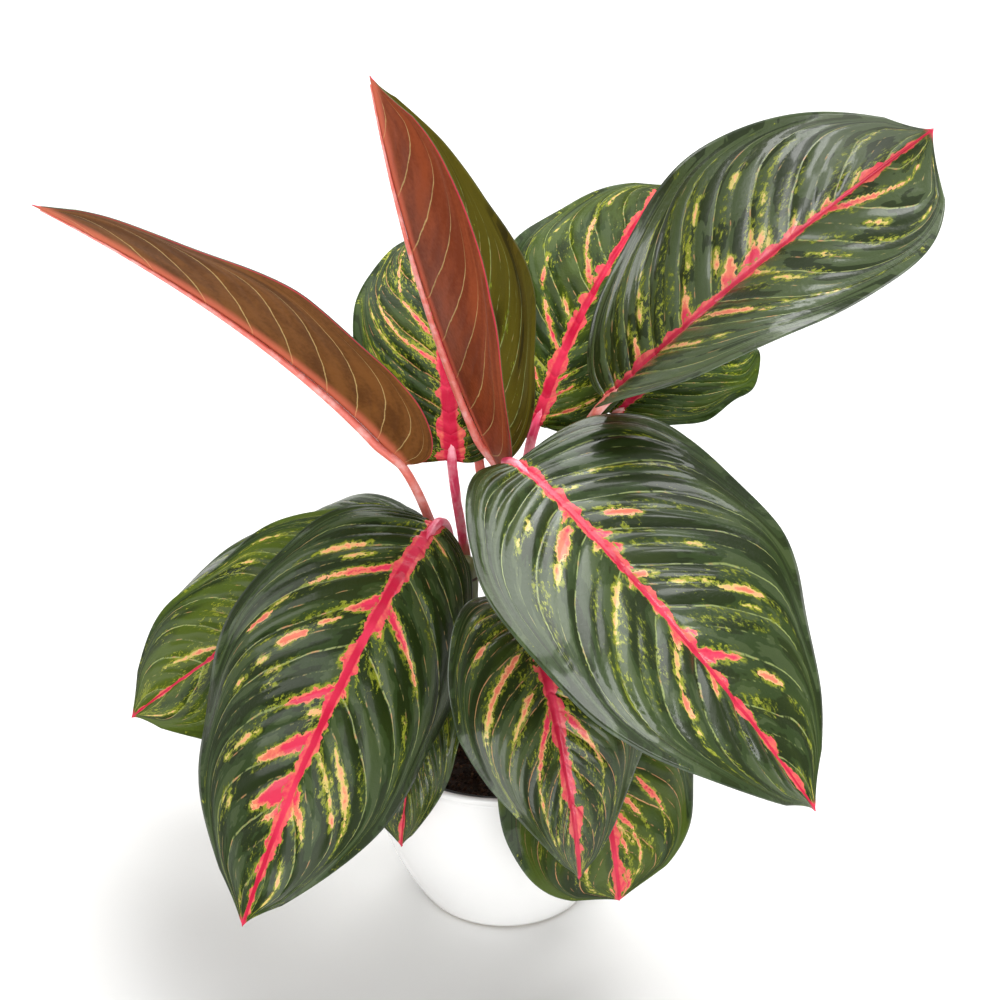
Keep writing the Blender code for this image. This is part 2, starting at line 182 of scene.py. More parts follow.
def close_recipe(tree, geometry, material, result):
    """Ends a tree in smooth shading, real geometry and its material."""
    smooth = put(tree, "GeometryNodeSetShadeSmooth", {"Geometry": geometry})
    real = put(tree, "GeometryNodeRealizeInstances", {0: smooth.outputs[0]})
    dressed = put(tree, "GeometryNodeSetMaterial", {"Geometry": real.outputs[0], "Material": material})
    tree.links.new(dressed.outputs[0], result.inputs[0])


def line_object(name, points, faces=()):
    """An object of points joined in a line, or of points and faces."""
    mesh = bpy.data.meshes.new(name)
    edges = [] if faces else [(k, k + 1) for k in range(len(points) - 1)]
    mesh.from_pydata([tuple(map(float, point)) for point in points], edges, list(faces))
    obj = bpy.data.objects.new(name, mesh)
    bpy.context.scene.collection.objects.link(obj)
    return obj


def follow_recipe(obj, tree, values):
    """Puts a Geometry Nodes tree on an object and sets its inputs."""
    modifier = obj.modifiers.new(tree.name, "NODES")
    modifier.node_group = tree
    names = {item.name: item.identifier for item in tree.interface.items_tree if item.in_out == "INPUT"}
    for label, value in values.items():
        modifier[names[label]] = value


def finished(obj):
    """The plain mesh that the modifiers make, with its materials, in place of the object's own mesh."""
    bpy.context.view_layer.update()
    made = bpy.data.meshes.new_from_object(obj.evaluated_get(bpy.context.evaluated_depsgraph_get()))
    obj.modifiers.clear()
    obj.data = made
    if made.materials[0] is None:
        made.materials.pop(index=0)
    return obj


def new_finish(name, coat=0.0, coat_roughness=0.1, specular=0.5):
    """A material with its node tree and shader. Values that are the same all over are set on the shader."""
    material = bpy.data.materials.new(name)
    material.use_nodes = True
    tree = material.node_tree
    shader = tree.nodes["Principled BSDF"]
    shader.inputs["Coat Weight"].default_value = coat
    shader.inputs["Coat Roughness"].default_value = coat_roughness
    shader.inputs["Specular IOR Level"].default_value = specular
    return material, tree, shader


def spot(tree):
    """Where a point of the surface is, in the piece's own coordinates."""
    return tree.nodes.new("ShaderNodeTexCoord").outputs["Object"]


def mottle(tree, vector, scale, detail=2.0, roughness=0.5, stretch=(1, 1, 1), shift=(0, 0, 0)):
    """Cloudy noise from 0 to 1. A stretch above 1 makes it finer along that axis."""
    placed = put(tree, "ShaderNodeMapping", {"Vector": vector, "Location": shift, "Scale": stretch})
    inputs = {"Vector": placed.outputs[0], "Scale": scale, "Detail": detail, "Roughness": roughness}
    return Figure(tree, put(tree, "ShaderNodeTexNoise", inputs).outputs["Fac"])


def eased(tree, value, low, high):
    """0 below low and 1 above high, or the other way round where low is above high."""
    inputs = {"Value": value, "From Min": low, "From Max": high}
    return Figure(tree, put(tree, "ShaderNodeMapRange", inputs, interpolation_type="SMOOTHSTEP").outputs[0])


def blended(tree, share, first, second):
    """A colour between two."""
    step = put(tree, "ShaderNodeMix", {0: share, 1: first, 2: second}, data_type="RGBA")
    return next(out for out in step.outputs if out.enabled)


def raised(tree, shader, height, depth, strength=1.0):
    """Bump from a height figure; depth is in metres."""
    inputs = {"Strength": strength, "Distance": depth, "Height": height}
    plug(tree, shader.inputs["Normal"], put(tree, "ShaderNodeBump", inputs).outputs[0])


def turned_recipe():
    """A shape turned on the wheel: the object's line of (radius, 0, height) points goes round the Z axis."""
    tree, given, result = start_recipe("turned_shape", {"Steps round": "Int", "Material": "Material"})
    rows = put(tree, "GeometryNodeAttributeDomainSize", {0: given["Geometry"]}, component="MESH").outputs[0]
    around = Figure(tree, given["Steps round"]) + 1
    size = {"Size X": 1.0, "Size Y": 1.0, "Vertices X": around, "Vertices Y": rows}
    sheet = put(tree, "GeometryNodeMeshGrid", size).outputs[0]
    x, y, _ = vector_parts(tree, tree.nodes.new("GeometryNodeInputPosition").outputs[0])
    row = ((y + 0.5) * (Figure(tree, rows) - 1) + 0.5).whole()
    place = tree.nodes.new("GeometryNodeInputPosition").outputs[0]
    inputs = {"Geometry": given["Geometry"], "Value": place, "Index": row}
    read = put(tree, "GeometryNodeSampleIndex", inputs, data_type="FLOAT_VECTOR")
    radius, _, height = vector_parts(tree, read.outputs[0])
    turn = (x + 0.5) * (2 * math.pi)
    target = made_vector(tree, radius * turn.cosine(), radius * turn.sine(), height)
    moved = put(tree, "GeometryNodeSetPosition", {"Geometry": sheet, "Position": target})
    sewn = put(tree, "GeometryNodeMergeByDistance", {"Geometry": moved.outputs[0], "Distance": 1e-6})
    close_recipe(tree, sewn.outputs[0], given["Material"], result)
    return tree


TURNED = turned_recipe()


def turned_piece(name, profile, steps, material):
    """A finished turned piece from (radius, height) points that go up its outside."""
    obj = line_object(name, [(radius, 0, height) for radius, height in profile])
    follow_recipe(obj, TURNED, {"Steps round": steps, "Material": material})
    return finished(obj)


def cover_radius(height):
    """Outer radius of the cover pot at a height."""
    u = height / COVER_HEIGHT
    full = COVER_FULLNESS * (1 - (1 - u) ** 3) + (1 - COVER_FULLNESS) * u
    return COVER_BASE_RADIUS + (COVER_RIM_RADIUS - COVER_BASE_RADIUS) * full


def arc(x, z, radius, first, last, steps):
    """Points of an arc in a profile, between two angles in degrees."""
    turns = np.radians(np.linspace(first, last, steps))
    return [(x + radius * math.cos(turn), z + radius * math.sin(turn)) for turn in turns]


def cover_profile():
    """Foot ring, outside, lip band, rounded lip, inside and floor."""
    band = COVER_HEIGHT - LIP_BAND
    half = COVER_WALL / 2
    foot = [(0, 0.0008), (0.0300, 0.0008), (0.0306, 0.0002), (0.0310, 0), (0.0368, 0), (0.0376, 0.0002)]
    heights = np.linspace(0.0012, band - 0.0012, 44)
    side = [(cover_radius(height), height) for height in heights]
    step = [
        (cover_radius(band) - LIP_STEP * 0.6, band - 0.0007), (cover_radius(band) - LIP_STEP, band - 0.0003),
        (cover_radius(band) - LIP_STEP * 0.7, band), (cover_radius(band), band + 0.0005),
    ]
    lip = arc(COVER_RIM_RADIUS - half, COVER_HEIGHT - half, half, 0, 180, 13)
    inside = [(cover_radius(height) - COVER_WALL, height) for height in np.linspace(band, 0.009, 24)]
    corner = cover_radius(COVER_FLOOR) - COVER_WALL
    floor = [(corner, 0.0062), (corner - 0.003, COVER_FLOOR), (0, COVER_FLOOR)]
    return foot + side + step + lip + inside + floor


def white_glaze():
    """Glossy white glaze, a little uneven, with a painted grey shade under the lip, and a bare foot ring."""
    material, tree, shader = new_finish("glossy_white_glaze", coat=0.5, coat_roughness=0.05)
    place = spot(tree)
    _, _, height = vector_parts(tree, place)
    clouds = mottle(tree, place, 45, detail=3)
    # Painted shade: a grey band on the wall just under the lip band, where the lip shades it
    lip_shade = eased(tree, height, COVER_HEIGHT - 0.0058, COVER_HEIGHT - LIP_BAND)
    lip_shade = lip_shade * eased(tree, height, COVER_HEIGHT - LIP_BAND + 0.0006, COVER_HEIGHT - LIP_BAND)
    glaze = blended(tree, clouds * 0.35 + lip_shade * 0.45, GLAZE_WHITE, GLAZE_GREY_AND_SHADE)
    bare = eased(tree, height + (mottle(tree, place, 300) - 0.5) * 0.0006, 0.0016, 0.0010)
    plug(tree, shader.inputs["Base Color"], blended(tree, bare, glaze, BARE_CLAY))
    plug(tree, shader.inputs["Roughness"], 0.16 + clouds * 0.08 + bare * 0.5)
    ripples = mottle(tree, place, 120, detail=1) + mottle(tree, place, 1400) * bare
    raised(tree, shader, ripples, 0.00006, 0.6)
    return material


cover_pot = turned_piece("cover_pot_glazed", cover_profile(), 160, white_glaze())
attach(cover_pot, "root")
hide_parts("cover_pot")

# Nursery pot
# The thin black pot that the plant was sold in: injection moulded with a turned-out lip, and scuffed.
# It stands loose inside the cover pot on its own floor, which has six drain holes.

NURSERY_TOP = 0.087
NURSERY_FOOT = COVER_FLOOR + 0.0003
NURSERY_BASE_RADIUS = 0.034
NURSERY_TOP_RADIUS = 0.0588
NURSERY_LIP_RADIUS = 0.0618
NURSERY_LIP_HEIGHT = 0.003
NURSERY_WALL = 0.0012
NURSERY_FLOOR = 0.0015
DRAIN_HOLES = 6
DRAIN_RADIUS = 0.004
DRAIN_CIRCLE = 0.023
PLASTIC_BLACK = (0.010, 0.010, 0.011, 1)
PLASTIC_SCUFFED = (0.035, 0.034, 0.033, 1)


def nursery_radius(height):
    """Outer radius of the nursery pot at a height."""
    share = (height - NURSERY_FOOT) / (NURSERY_TOP - NURSERY_FOOT)
    return NURSERY_BASE_RADIUS + (NURSERY_TOP_RADIUS - NURSERY_BASE_RADIUS) * share


def nursery_profile():
    """Outside, turned-out lip with softened edges, and inside."""
    under = NURSERY_TOP - NURSERY_LIP_HEIGHT
    inner = NURSERY_FOOT + NURSERY_FLOOR
    edge = 0.0006
    wall = nursery_radius(NURSERY_TOP) - NURSERY_WALL
    profile = [(0, NURSERY_FOOT), (NURSERY_BASE_RADIUS - 0.001, NURSERY_FOOT)]
    heights = np.linspace(NURSERY_FOOT + 0.001, under - 0.0004, 8)
    profile += [(nursery_radius(height), height) for height in heights]
    profile += [(NURSERY_LIP_RADIUS - 0.0006, under), (NURSERY_LIP_RADIUS, under + 0.0005)]
    profile += arc(NURSERY_LIP_RADIUS - edge, NURSERY_TOP - edge, edge, 0, 90, 5)
    profile += [(wall + 0.0008, NURSERY_TOP), (wall + 0.0002, NURSERY_TOP - 0.0003)]
    profile += [(nursery_radius(under) - NURSERY_WALL, under), (nursery_radius(inner) - NURSERY_WALL, inner)]
    return profile + [(0, inner)]


def drain_cutters():
    """Six short rods standing in the floor, as one mesh of points and faces."""
    points, faces = [], []
    for hole in range(DRAIN_HOLES):
        turn = 2 * math.pi * (hole + 0.5) / DRAIN_HOLES
        first = len(points)
        sides = 24
        for height in (NURSERY_FOOT - 0.001, NURSERY_FOOT + NURSERY_FLOOR + 0.001):
            for k in range(sides):
                angle = 2 * math.pi * k / sides
                x = DRAIN_CIRCLE * math.cos(turn) + DRAIN_RADIUS * math.cos(angle)
                y = DRAIN_CIRCLE * math.sin(turn) + DRAIN_RADIUS * math.sin(angle)
                points.append((x, y, height))
        low = [first + k for k in range(sides)]
        high = [first + sides + k for k in range(sides)]
        faces += [low[::-1], high]
        faces += [(low[k], low[(k + 1) % sides], high[(k + 1) % sides], high[k]) for k in range(sides)]
    return points, faces


def black_plastic():
    """Matt black plastic with fine scuffs and a little dust in patches."""
    material, tree, shader = new_finish("moulded_black_plastic", specular=0.4)
    place = spot(tree)
    scuffs = mottle(tree, place, 60, detail=6, roughness=0.7)
    dust = eased(tree, scuffs, 0.5, 0.72)
    plug(tree, shader.inputs["Base Color"], blended(tree, dust, PLASTIC_BLACK, PLASTIC_SCUFFED))
    plug(tree, shader.inputs["Roughness"], 0.34 + scuffs * 0.25)
    raised(tree, shader, mottle(tree, place, 900, detail=2), 0.00005, 0.5)
    return material


plastic = black_plastic()
nursery_pot = turned_piece("nursery_pot_moulded", nursery_profile(), 120, plastic)
drains = line_object("drain_cutters", *drain_cutters())
cut = nursery_pot.modifiers.new("drain_holes", "BOOLEAN")
cut.operation = "DIFFERENCE"
cut.object = drains
finished(nursery_pot)
bpy.data.objects.remove(drains, do_unlink=True)
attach(nursery_pot, "root")
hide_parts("nursery_pot")

# Potting mix
# Dark peat, bark and coir fill the nursery pot to just under its lip, with crumbs and chips lying loose on
# top. They are scattered over the top face and turned every way, pressed a little into the mix.

MIX_TOP = 0.082
MIX_LUMP = 0.0012
MIX_SHADE = 0.3
CRUMBS_PER_SQUARE_METRE = 190000
CHIPS_PER_SQUARE_METRE = 26000
PEAT_DARK = (0.014, 0.007, 0.004, 1)
PEAT_BROWN = (0.060, 0.027, 0.013, 1)
BARK_PALE = (0.160, 0.082, 0.040, 1)


def mix_lift(x, y):
    """Lumps of the mix, less at the wall."""
    lumps = math.sin(190 * x + 60 * y) + math.sin(230 * y - 90 * x + 1) + 0.6 * math.sin(410 * x + 330 * y)
    near_wall = 1 - min(1, math.hypot(x, y) / nursery_radius(MIX_TOP)) ** 6
    return MIX_LUMP * lumps * (0.15 + 0.85 * near_wall)


def mix_recipe():
    """Crumbs and bark chips strewn over the upward faces of the mix."""
    inputs = {"Crumbs": "Float", "Chips": "Float", "Seed": "Int", "Material": "Material"}
    tree, given, result = start_recipe("strewn_mix", inputs)
    _, _, up = vector_parts(tree, tree.nodes.new("GeometryNodeInputNormal").outputs[0])
    _, _, height = vector_parts(tree, tree.nodes.new("GeometryNodeInputPosition").outputs[0])
    top = up.over(0.6) * height.over(MIX_TOP - 0.004)
    inputs = {"Geometry": given["Geometry"], "Name": "shade", "Value": MIX_SHADE}
    plain = put(tree, "GeometryNodeStoreNamedAttribute", inputs)
    parts = [plain.outputs[0]]
    seed = Figure(tree, given["Seed"])
    kinds = (("Crumbs", (1, 1, 0.8), 0.0006, 0.0014, 0), ("Chips", (2.2, 1.1, 0.45), 0.0008, 0.0016, 40))
    for label, form, least, most, shift in kinds:
        inputs = {"Mesh": given["Geometry"], "Selection": top, "Density": given[label], "Seed": seed + shift}
        strewn = put(tree, "GeometryNodeDistributePointsOnFaces", inputs)
        ball = put(tree, "GeometryNodeMeshIcoSphere", {"Radius": 1.0, "Subdivisions": 1})
        shaped = put(tree, "GeometryNodeTransform", {"Geometry": ball.outputs[0], "Scale": form})
        limits = {"Min": (0, 0, 0), "Max": (6.28, 6.28, 6.28), "Seed": seed + (shift + 1)}
        turn = put(tree, "FunctionNodeRandomValue", limits, data_type="FLOAT_VECTOR")
        limits = {"Min": least, "Max": most, "Seed": seed + (shift + 2)}
        size = put(tree, "FunctionNodeRandomValue", limits, data_type="FLOAT")
        inputs = {
            "Points": strewn.outputs[0], "Instance": shaped.outputs[0],
            "Rotation": next(out for out in turn.outputs if out.enabled),
            "Scale": next(out for out in size.outputs if out.enabled),
        }
        laid = put(tree, "GeometryNodeInstanceOnPoints", inputs)
        limits = {"Min": 0.0, "Max": 1.0, "Seed": seed + (shift + 3)}
        shade = put(tree, "FunctionNodeRandomValue", limits, data_type="FLOAT")
        shade = next(out for out in shade.outputs if out.enabled)
        inputs = {"Geometry": laid.outputs[0], "Name": "shade", "Value": shade}
        parts.append(put(tree, "GeometryNodeStoreNamedAttribute", inputs, domain="INSTANCE").outputs[0])
    joined = tree.nodes.new("GeometryNodeJoinGeometry")
    for part in parts:
        tree.links.new(part, joined.inputs[0])
    close_recipe(tree, joined.outputs[0], given["Material"], result)
    return tree


def peat_and_bark():
    """Moist peat, darker in the gaps, with paler bark chips."""
    material, tree, shader = new_finish("peat_and_bark", specular=0.3)
    shade = Figure(tree, put(tree, "ShaderNodeAttribute", attribute_name="shade").outputs["Fac"])
    place = spot(tree)
    grain = mottle(tree, place, 700, detail=4, roughness=0.65)
    brown = blended(tree, eased(tree, grain * 0.6 + shade * 0.5, 0.3, 0.8), PEAT_DARK, PEAT_BROWN)
    pale = eased(tree, shade, 0.82, 1.0) * eased(tree, grain, 0.4, 0.65)
    plug(tree, shader.inputs["Base Color"], blended(tree, pale, brown, BARK_PALE))
    plug(tree, shader.inputs["Roughness"], 0.95 - grain * 0.25)
    raised(tree, shader, grain, 0.0004, 0.8)
    return material


mix_wall = NURSERY_WALL + 0.0003
mix_low = NURSERY_FOOT + NURSERY_FLOOR + 0.0003
mix_rim = nursery_radius(MIX_TOP - 0.001) - mix_wall
mix_profile = [(0, mix_low), (nursery_radius(mix_low) - mix_wall, mix_low), (mix_rim, MIX_TOP - 0.001)]
mix_profile += [(mix_rim * share, MIX_TOP) for share in np.linspace(0.985, 0.02, 30)] + [(0, MIX_TOP)]
peat = peat_and_bark()
mix = turned_piece("potting_mix_strewn", mix_profile, 120, peat)
for point in mix.data.vertices:
    if point.co.z >= MIX_TOP - 1e-5:
        point.co.z += mix_lift(point.co.x, point.co.y)
strewing = {"Crumbs": CRUMBS_PER_SQUARE_METRE, "Chips": CHIPS_PER_SQUARE_METRE, "Seed": 5, "Material": peat}
follow_recipe(mix, mix_recipe(), strewing)
finished(mix)
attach(mix, "root")
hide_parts("potting_mix")

# Canes
# The two short upright stems, green and fleshy, ringed by the scars of fallen leaves, browner towards the
# mix. Each is rooted in the mix and carries its leaf stalks all round.

CANES = {"left": (-18, -2, 180), "right": (6, 4, 188)}
CANE_RADIUS = 0.006
CANE_BOTTOM = 0.035
SCAR_DEPTH = 0.0004
SCAR_PITCH = 0.016
CANE_GREEN = (0.14, 0.17, 0.055, 1)
CANE_BROWN = (0.13, 0.075, 0.035, 1)
SCAR_BROWN = (0.055, 0.030, 0.016, 1)


def cane_profile(top):
    """Buried end, ringed length and rounded top of a cane."""
    profile = [(0, CANE_BOTTOM), (CANE_RADIUS - 0.001, CANE_BOTTOM), (CANE_RADIUS, CANE_BOTTOM + 0.002)]
    for height in np.arange(MIX_TOP - 0.002, top - 0.006, 0.0008):
        place = (height - MIX_TOP - 0.008) % SCAR_PITCH
        scar = SCAR_DEPTH * math.exp(-(min(place, SCAR_PITCH - place) / 0.0007) ** 2)
        swell = 0.0001 * (1 + math.sin(place / SCAR_PITCH * 2 * math.pi))
        profile.append((CANE_RADIUS - scar - swell, height))
    return profile + arc(0, top - CANE_RADIUS, CANE_RADIUS, 8, 90, 8)[:-1] + [(0, top)]


def cane_skin():
    """Smooth green skin with corky brown scar rings."""
    material, tree, shader = new_finish("cane_skin", coat=0.1)
    place = spot(tree)
    _, _, height = vector_parts(tree, place)
    clouds = mottle(tree, place, 90, detail=4)
    skin = blended(tree, eased(tree, height + clouds * 0.05, 0.175, 0.115), CANE_GREEN, CANE_BROWN)
    ring = ((height - (MIX_TOP + 0.008)) / SCAR_PITCH + 0.5)
    ring = (ring - ring.whole() - 0.5).size() * SCAR_PITCH + (mottle(tree, place, 500) - 0.5) * 0.0008
    scar = eased(tree, ring, 0.0011, 0.0004)
    plug(tree, shader.inputs["Base Color"], blended(tree, scar, skin, SCAR_BROWN))
    plug(tree, shader.inputs["Roughness"], 0.42 + scar * 0.4)
    raised(tree, shader, mottle(tree, place, 500, detail=3, stretch=(1, 1, 0.15)), 0.00012, 0.6)
    return material


for side, (cane_x, cane_y, cane_top) in CANES.items():
    cane = turned_piece(f"cane_{side}_ringed", cane_profile(cane_top * MM), 40, cane_skin())
    for point in cane.data.vertices:
        point.co.x += cane_x * MM
        point.co.y += cane_y * MM
    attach(cane, "root")
    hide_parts(f"cane_{side}")

# Leaf stalks and midribs
# Each leaf grows on one fleshy stalk, pink to coral, that arches out of its cane and runs on under the blade
# as a raised midrib, thinner and thinner to the tip. Its upper side has a shallow channel.

LEAF_DEFAULTS = dict(
    turn=0, roll=(0, 0), rise=(12, 12), curl=(-25, -25), wave=2.0, waves=2.5, phase=0.0, lobe=0.03,
    bend=0.6, blunt=(2.1, 2.1), base_round=(0.62, 0.62), spring=1.0, veins=10,
)
# Lengths in millimetres and angles in degrees, as in the CAD part. Pairs are (left half, right half), except
# that pitch and roll are (base, tip) and foot is (angle round the cane, height).
LEAVES = {
    "leaf_01": dict(
        cane="left", foot=(180, 174), base=(-46, -8, 230), heading=187, pitch=(57, 31), length=206,
        width=(42, 34), roll=(30, 15), rise=(32, 32), curl=(-5, -40), wave=1.0, base_round=(0.9, 0.9),
    ),
    "leaf_02": dict(
        cane="right", foot=(169, 184), base=(-4, 8, 222), heading=190, pitch=(66, 81), length=198,
        width=(50, 50), roll=(-20, 5), rise=(28, 50), curl=(15, 10), wave=1.0, bend=0.8,
        blunt=(3.6, 1.8), base_round=(1.1, 1.3),
    ),
    "leaf_03": dict(
        cane="left", foot=(90, 168), base=(-24, 12, 222), heading=95, pitch=(45, 0), length=148,
        width=(42, 38), rise=(15, -5), curl=(-20, -20), bend=1.0, base_round=(0.62, 1.0),
    ),
    "leaf_04": dict(
        cane="right", foot=(80, 168), base=(14, 20, 236), heading=60, pitch=(49, 9), length=152,
        width=(47, 46), rise=(22, 17), curl=(-20, -20), bend=1.0,
    ),
    "leaf_05": dict(
        cane="right", foot=(8, 178), base=(45, -2, 259), heading=8, pitch=(45, 36), length=187,
        width=(56, 50), roll=(0, 72), rise=(28, 30), curl=(-15, -20), bend=1.0, blunt=(2.6, 6.0),
        base_round=(1.1, 0.62),
    ),
    "leaf_06": dict(
        cane="right", foot=(25, 152), base=(50, 10, 246), heading=52, pitch=(16, -22), length=112,
        width=(40, 37), rise=(5, 5), curl=(-30, -30), bend=1.0, blunt=(2.1, 1.6),
    ),
    "leaf_07": dict(
        cane="right", foot=(315, 170), base=(4, -34, 244), heading=-52, pitch=(8, -54), turn=35,
        length=208, width=(81, 73), rise=(16, 8), curl=(-15, -22), bend=0.4, blunt=(2.2, 2.1),
        base_round=(0.62, 1.3), spring=2.0,
    ),
    "leaf_08": dict(
        cane="left", foot=(239, 152), base=(-30, -20, 207), heading=-117, pitch=(5, -66), turn=-22,
        length=208, width=(60, 78), roll=(-5, 0), rise=(-26, 0), curl=(-70, -24), bend=0.45,
        blunt=(1.8, 2.6), base_round=(1.2, 0.75),
    ),
    "leaf_09": dict(
        cane="left", foot=(190, 134), base=(-42, -8, 188), heading=185, pitch=(-20, -40), length=158,
        width=(58, 54), roll=(-6, -8), rise=(-20, 26), curl=(-35, -30), blunt=(2.1, 2.8),
        base_round=(0.62, 1.1),
    ),
    "leaf_10": dict(
        cane="left", foot=(149, 146), base=(-34, 22, 168), heading=161, pitch=(8, -44), length=167,
        width=(44, 66), rise=(3, 10), blunt=(2.1, 2.8), base_round=(0.62, 2.0),
    ),
    "leaf_11": dict(
        cane="right", foot=(270, 134), base=(9, -48, 184), heading=-77, pitch=(-10, -85), turn=20,
        length=134, width=(46, 46), blunt=(1.4, 1.3),
    ),
    "leaf_12": dict(
        cane="right", foot=(300, 116), base=(19, -34, 160), heading=-54, pitch=(-35, -82), length=133,
        width=(50, 52), rise=(12, 5), curl=(-20, -20), blunt=(4.5, 4.5), base_round=(0.8, 0.8),
    ),
    "leaf_13": dict(
        cane="left", foot=(270, 126), base=(-24, -24, 160), heading=-120, pitch=(-35, -82), length=111,
        width=(23, 28), rise=(12, 30), base_round=(0.9, 0.9),
    ),
    "leaf_14": dict(
        cane="right", foot=(99, 140), base=(-12, 32, 222), heading=85, pitch=(25, -50), length=130,
        width=(36, 36), rise=(5, 5), curl=(-20, -20), bend=1.0,
    ),
}
RIB_STEPS = 64
STALK_RADII = (0.0033, 0.0024, 0.0023)
MIDRIB_SINK = 0.0006
MIDRIB_END = 0.965
CORAL = (0.74, 0.17, 0.13, 1)
HOT_PINK = (0.68, 0.040, 0.12, 1)
STALK_GREEN = (0.34, 0.26, 0.10, 1)
STALK_COLOURS = {f"leaf_{number}": HOT_PINK for number in ("03", "04", "07", "08", "11")}


def unit(vectors):
    """The vectors, or one vector, at length one."""
    vectors = np.asarray(vectors, float)
    return vectors / np.linalg.norm(vectors, axis=-1, keepdims=True)


def grown_rib(leaf):
    """Stations along a midrib: place, direction, right-hand side and upper side."""
    v = np.linspace(0, 1, RIB_STEPS + 1)
    first, last = leaf["pitch"]
    pitch = np.radians(first + (last - first) * v ** leaf["bend"])
    heading = np.radians(leaf["heading"] + leaf["turn"] * v)
    roll = np.radians(leaf["roll"][0] + (leaf["roll"][1] - leaf["roll"][0]) * v)[:, None]
    level = np.stack([np.cos(heading), np.sin(heading), 0 * heading], axis=1)
    up = np.array([0, 0, 1.0])
    along = level * np.cos(pitch)[:, None] + up * np.sin(pitch)[:, None]
    over = up * np.cos(pitch)[:, None] - level * np.sin(pitch)[:, None]
    right = np.cross(along, over)
    steps = (along[1:] + along[:-1]) / 2 * leaf["length"] * MM / RIB_STEPS
    base = np.array(leaf["base"]) * MM
    return {
        "place": np.vstack([base, base + np.cumsum(steps, axis=0)]),
        "along": along,
        "right": right * np.cos(roll) - over * np.sin(roll),
        "over": over * np.cos(roll) + right * np.sin(roll),
    }


def rib_read(rib, name, y):
    """One of the rib's values at places y along it."""
    stations = np.linspace(0, 1, RIB_STEPS + 1)
    return np.stack([np.interp(y, stations, rib[name][:, axis]) for axis in range(3)], axis=-1)


def stalk_path(leaf, rib):
    """Centre points and radii from inside the cane, up the arch and along under the blade to its tip."""
    x, y, _ = CANES[leaf["cane"]]
    angle, height = leaf["foot"]
    outward = np.array([math.cos(math.radians(angle)), math.sin(math.radians(angle)), 0])
    axis = np.array([x, y, height]) * MM
    foot = axis + outward * CANE_RADIUS
    base = rib["place"][0]
    span = np.linalg.norm(base - foot)
    leaving = unit(outward * 0.45 + np.array([0, 0, 0.9])) * span * leaf["spring"]
    arriving = rib["along"][0] * span * 0.9
    u = np.linspace(0, 1, 36)[:, None]
    arch = (2 * u ** 3 - 3 * u ** 2 + 1) * foot + (u ** 3 - 2 * u ** 2 + u) * leaving
    arch = arch + (3 * u ** 2 - 2 * u ** 3) * base + (u ** 3 - u ** 2) * arriving
    under = np.linspace(0.012, MIDRIB_END, 60)
    radii = 0.0003 + 0.0020 * (1 - under) ** 1.1
    sunk = (radii + MIDRIB_SINK) * np.clip(under / 0.07, 0, 1)
    midrib = rib_read(rib, "place", under) - unit(rib_read(rib, "over", under)) * sunk[:, None]
    path = np.vstack([axis + outward * 0.003 - np.array([0, 0, 0.006]), arch, midrib])
    stalk_radii = np.interp(u[:, 0], (0, 0.25, 1), STALK_RADII)
    return path, np.concatenate([[STALK_RADII[0]], stalk_radii, radii])


def stalk_recipe():
    """A fleshy round stalk, channelled above, along the object's own line of points."""
    tree, given, result = start_recipe("stalk", {"Sides": "Int", "Channel": "Float", "Material": "Material"})
    line = put(tree, "GeometryNodeMeshToCurve", {0: given["Geometry"]})
    upright = put(tree, "GeometryNodeSetCurveNormal", {0: line.outputs[0]}, mode="Z_UP")
    ring = put(tree, "GeometryNodeCurvePrimitiveCircle", {"Resolution": given["Sides"], "Radius": 1.0})
    x, y, _ = vector_parts(tree, tree.nodes.new("GeometryNodeInputPosition").outputs[0])
    near = (y * -1).between(0, 1) ** 6
    dented = 1 - near * Figure(tree, given["Channel"])
    shaped = put(tree, "GeometryNodeSetPosition", {
        "Geometry": ring.outputs[0], "Position": made_vector(tree, x * dented, y * dented, 0.0),
    })
    thick = put(tree, "GeometryNodeInputNamedAttribute", {"Name": "thick"}, data_type="FLOAT")
    tube = put(tree, "GeometryNodeCurveToMesh", {
        "Curve": upright.outputs[0], "Profile Curve": shaped.outputs[0], "Scale": thick.outputs[0],
        "Fill Caps": True,
    })
    close_recipe(tree, tube.outputs[0], given["Material"], result)
    return tree


def stalk_skin(name, colour):
    """Glossy fleshy skin, greener at the foot, flushed along its length."""
    material, tree, shader = new_finish(f"stalk_{name}", coat=0.25, coat_roughness=0.2)
    run = Figure(tree, put(tree, "ShaderNodeAttribute", attribute_name="run").outputs["Fac"])
    place = spot(tree)
    streaks = mottle(tree, place, 130, detail=4, roughness=0.6)
    paler = tuple(min(1, 0.25 + 0.8 * part) for part in colour[:3]) + (1,)
    flushed = blended(tree, eased(tree, streaks, 0.42, 0.68), colour, paler)
    foot = eased(tree, run + (streaks - 0.5) * 0.4, 0.34, 0.02)
    plug(tree, shader.inputs["Base Color"], blended(tree, foot, flushed, STALK_GREEN))
    plug(tree, shader.inputs["Roughness"], 0.34 + streaks * 0.15)
    raised(tree, shader, mottle(tree, place, 900, detail=2), 0.00008, 0.5)
    return material


def put_values(mesh, name, kind, values):
    """Writes a point attribute."""
    attribute = mesh.attributes.new(name, kind, "POINT")
    field = "value" if kind == "FLOAT" else "vector"
    attribute.data.foreach_set(field, np.asarray(values, np.float32).ravel())


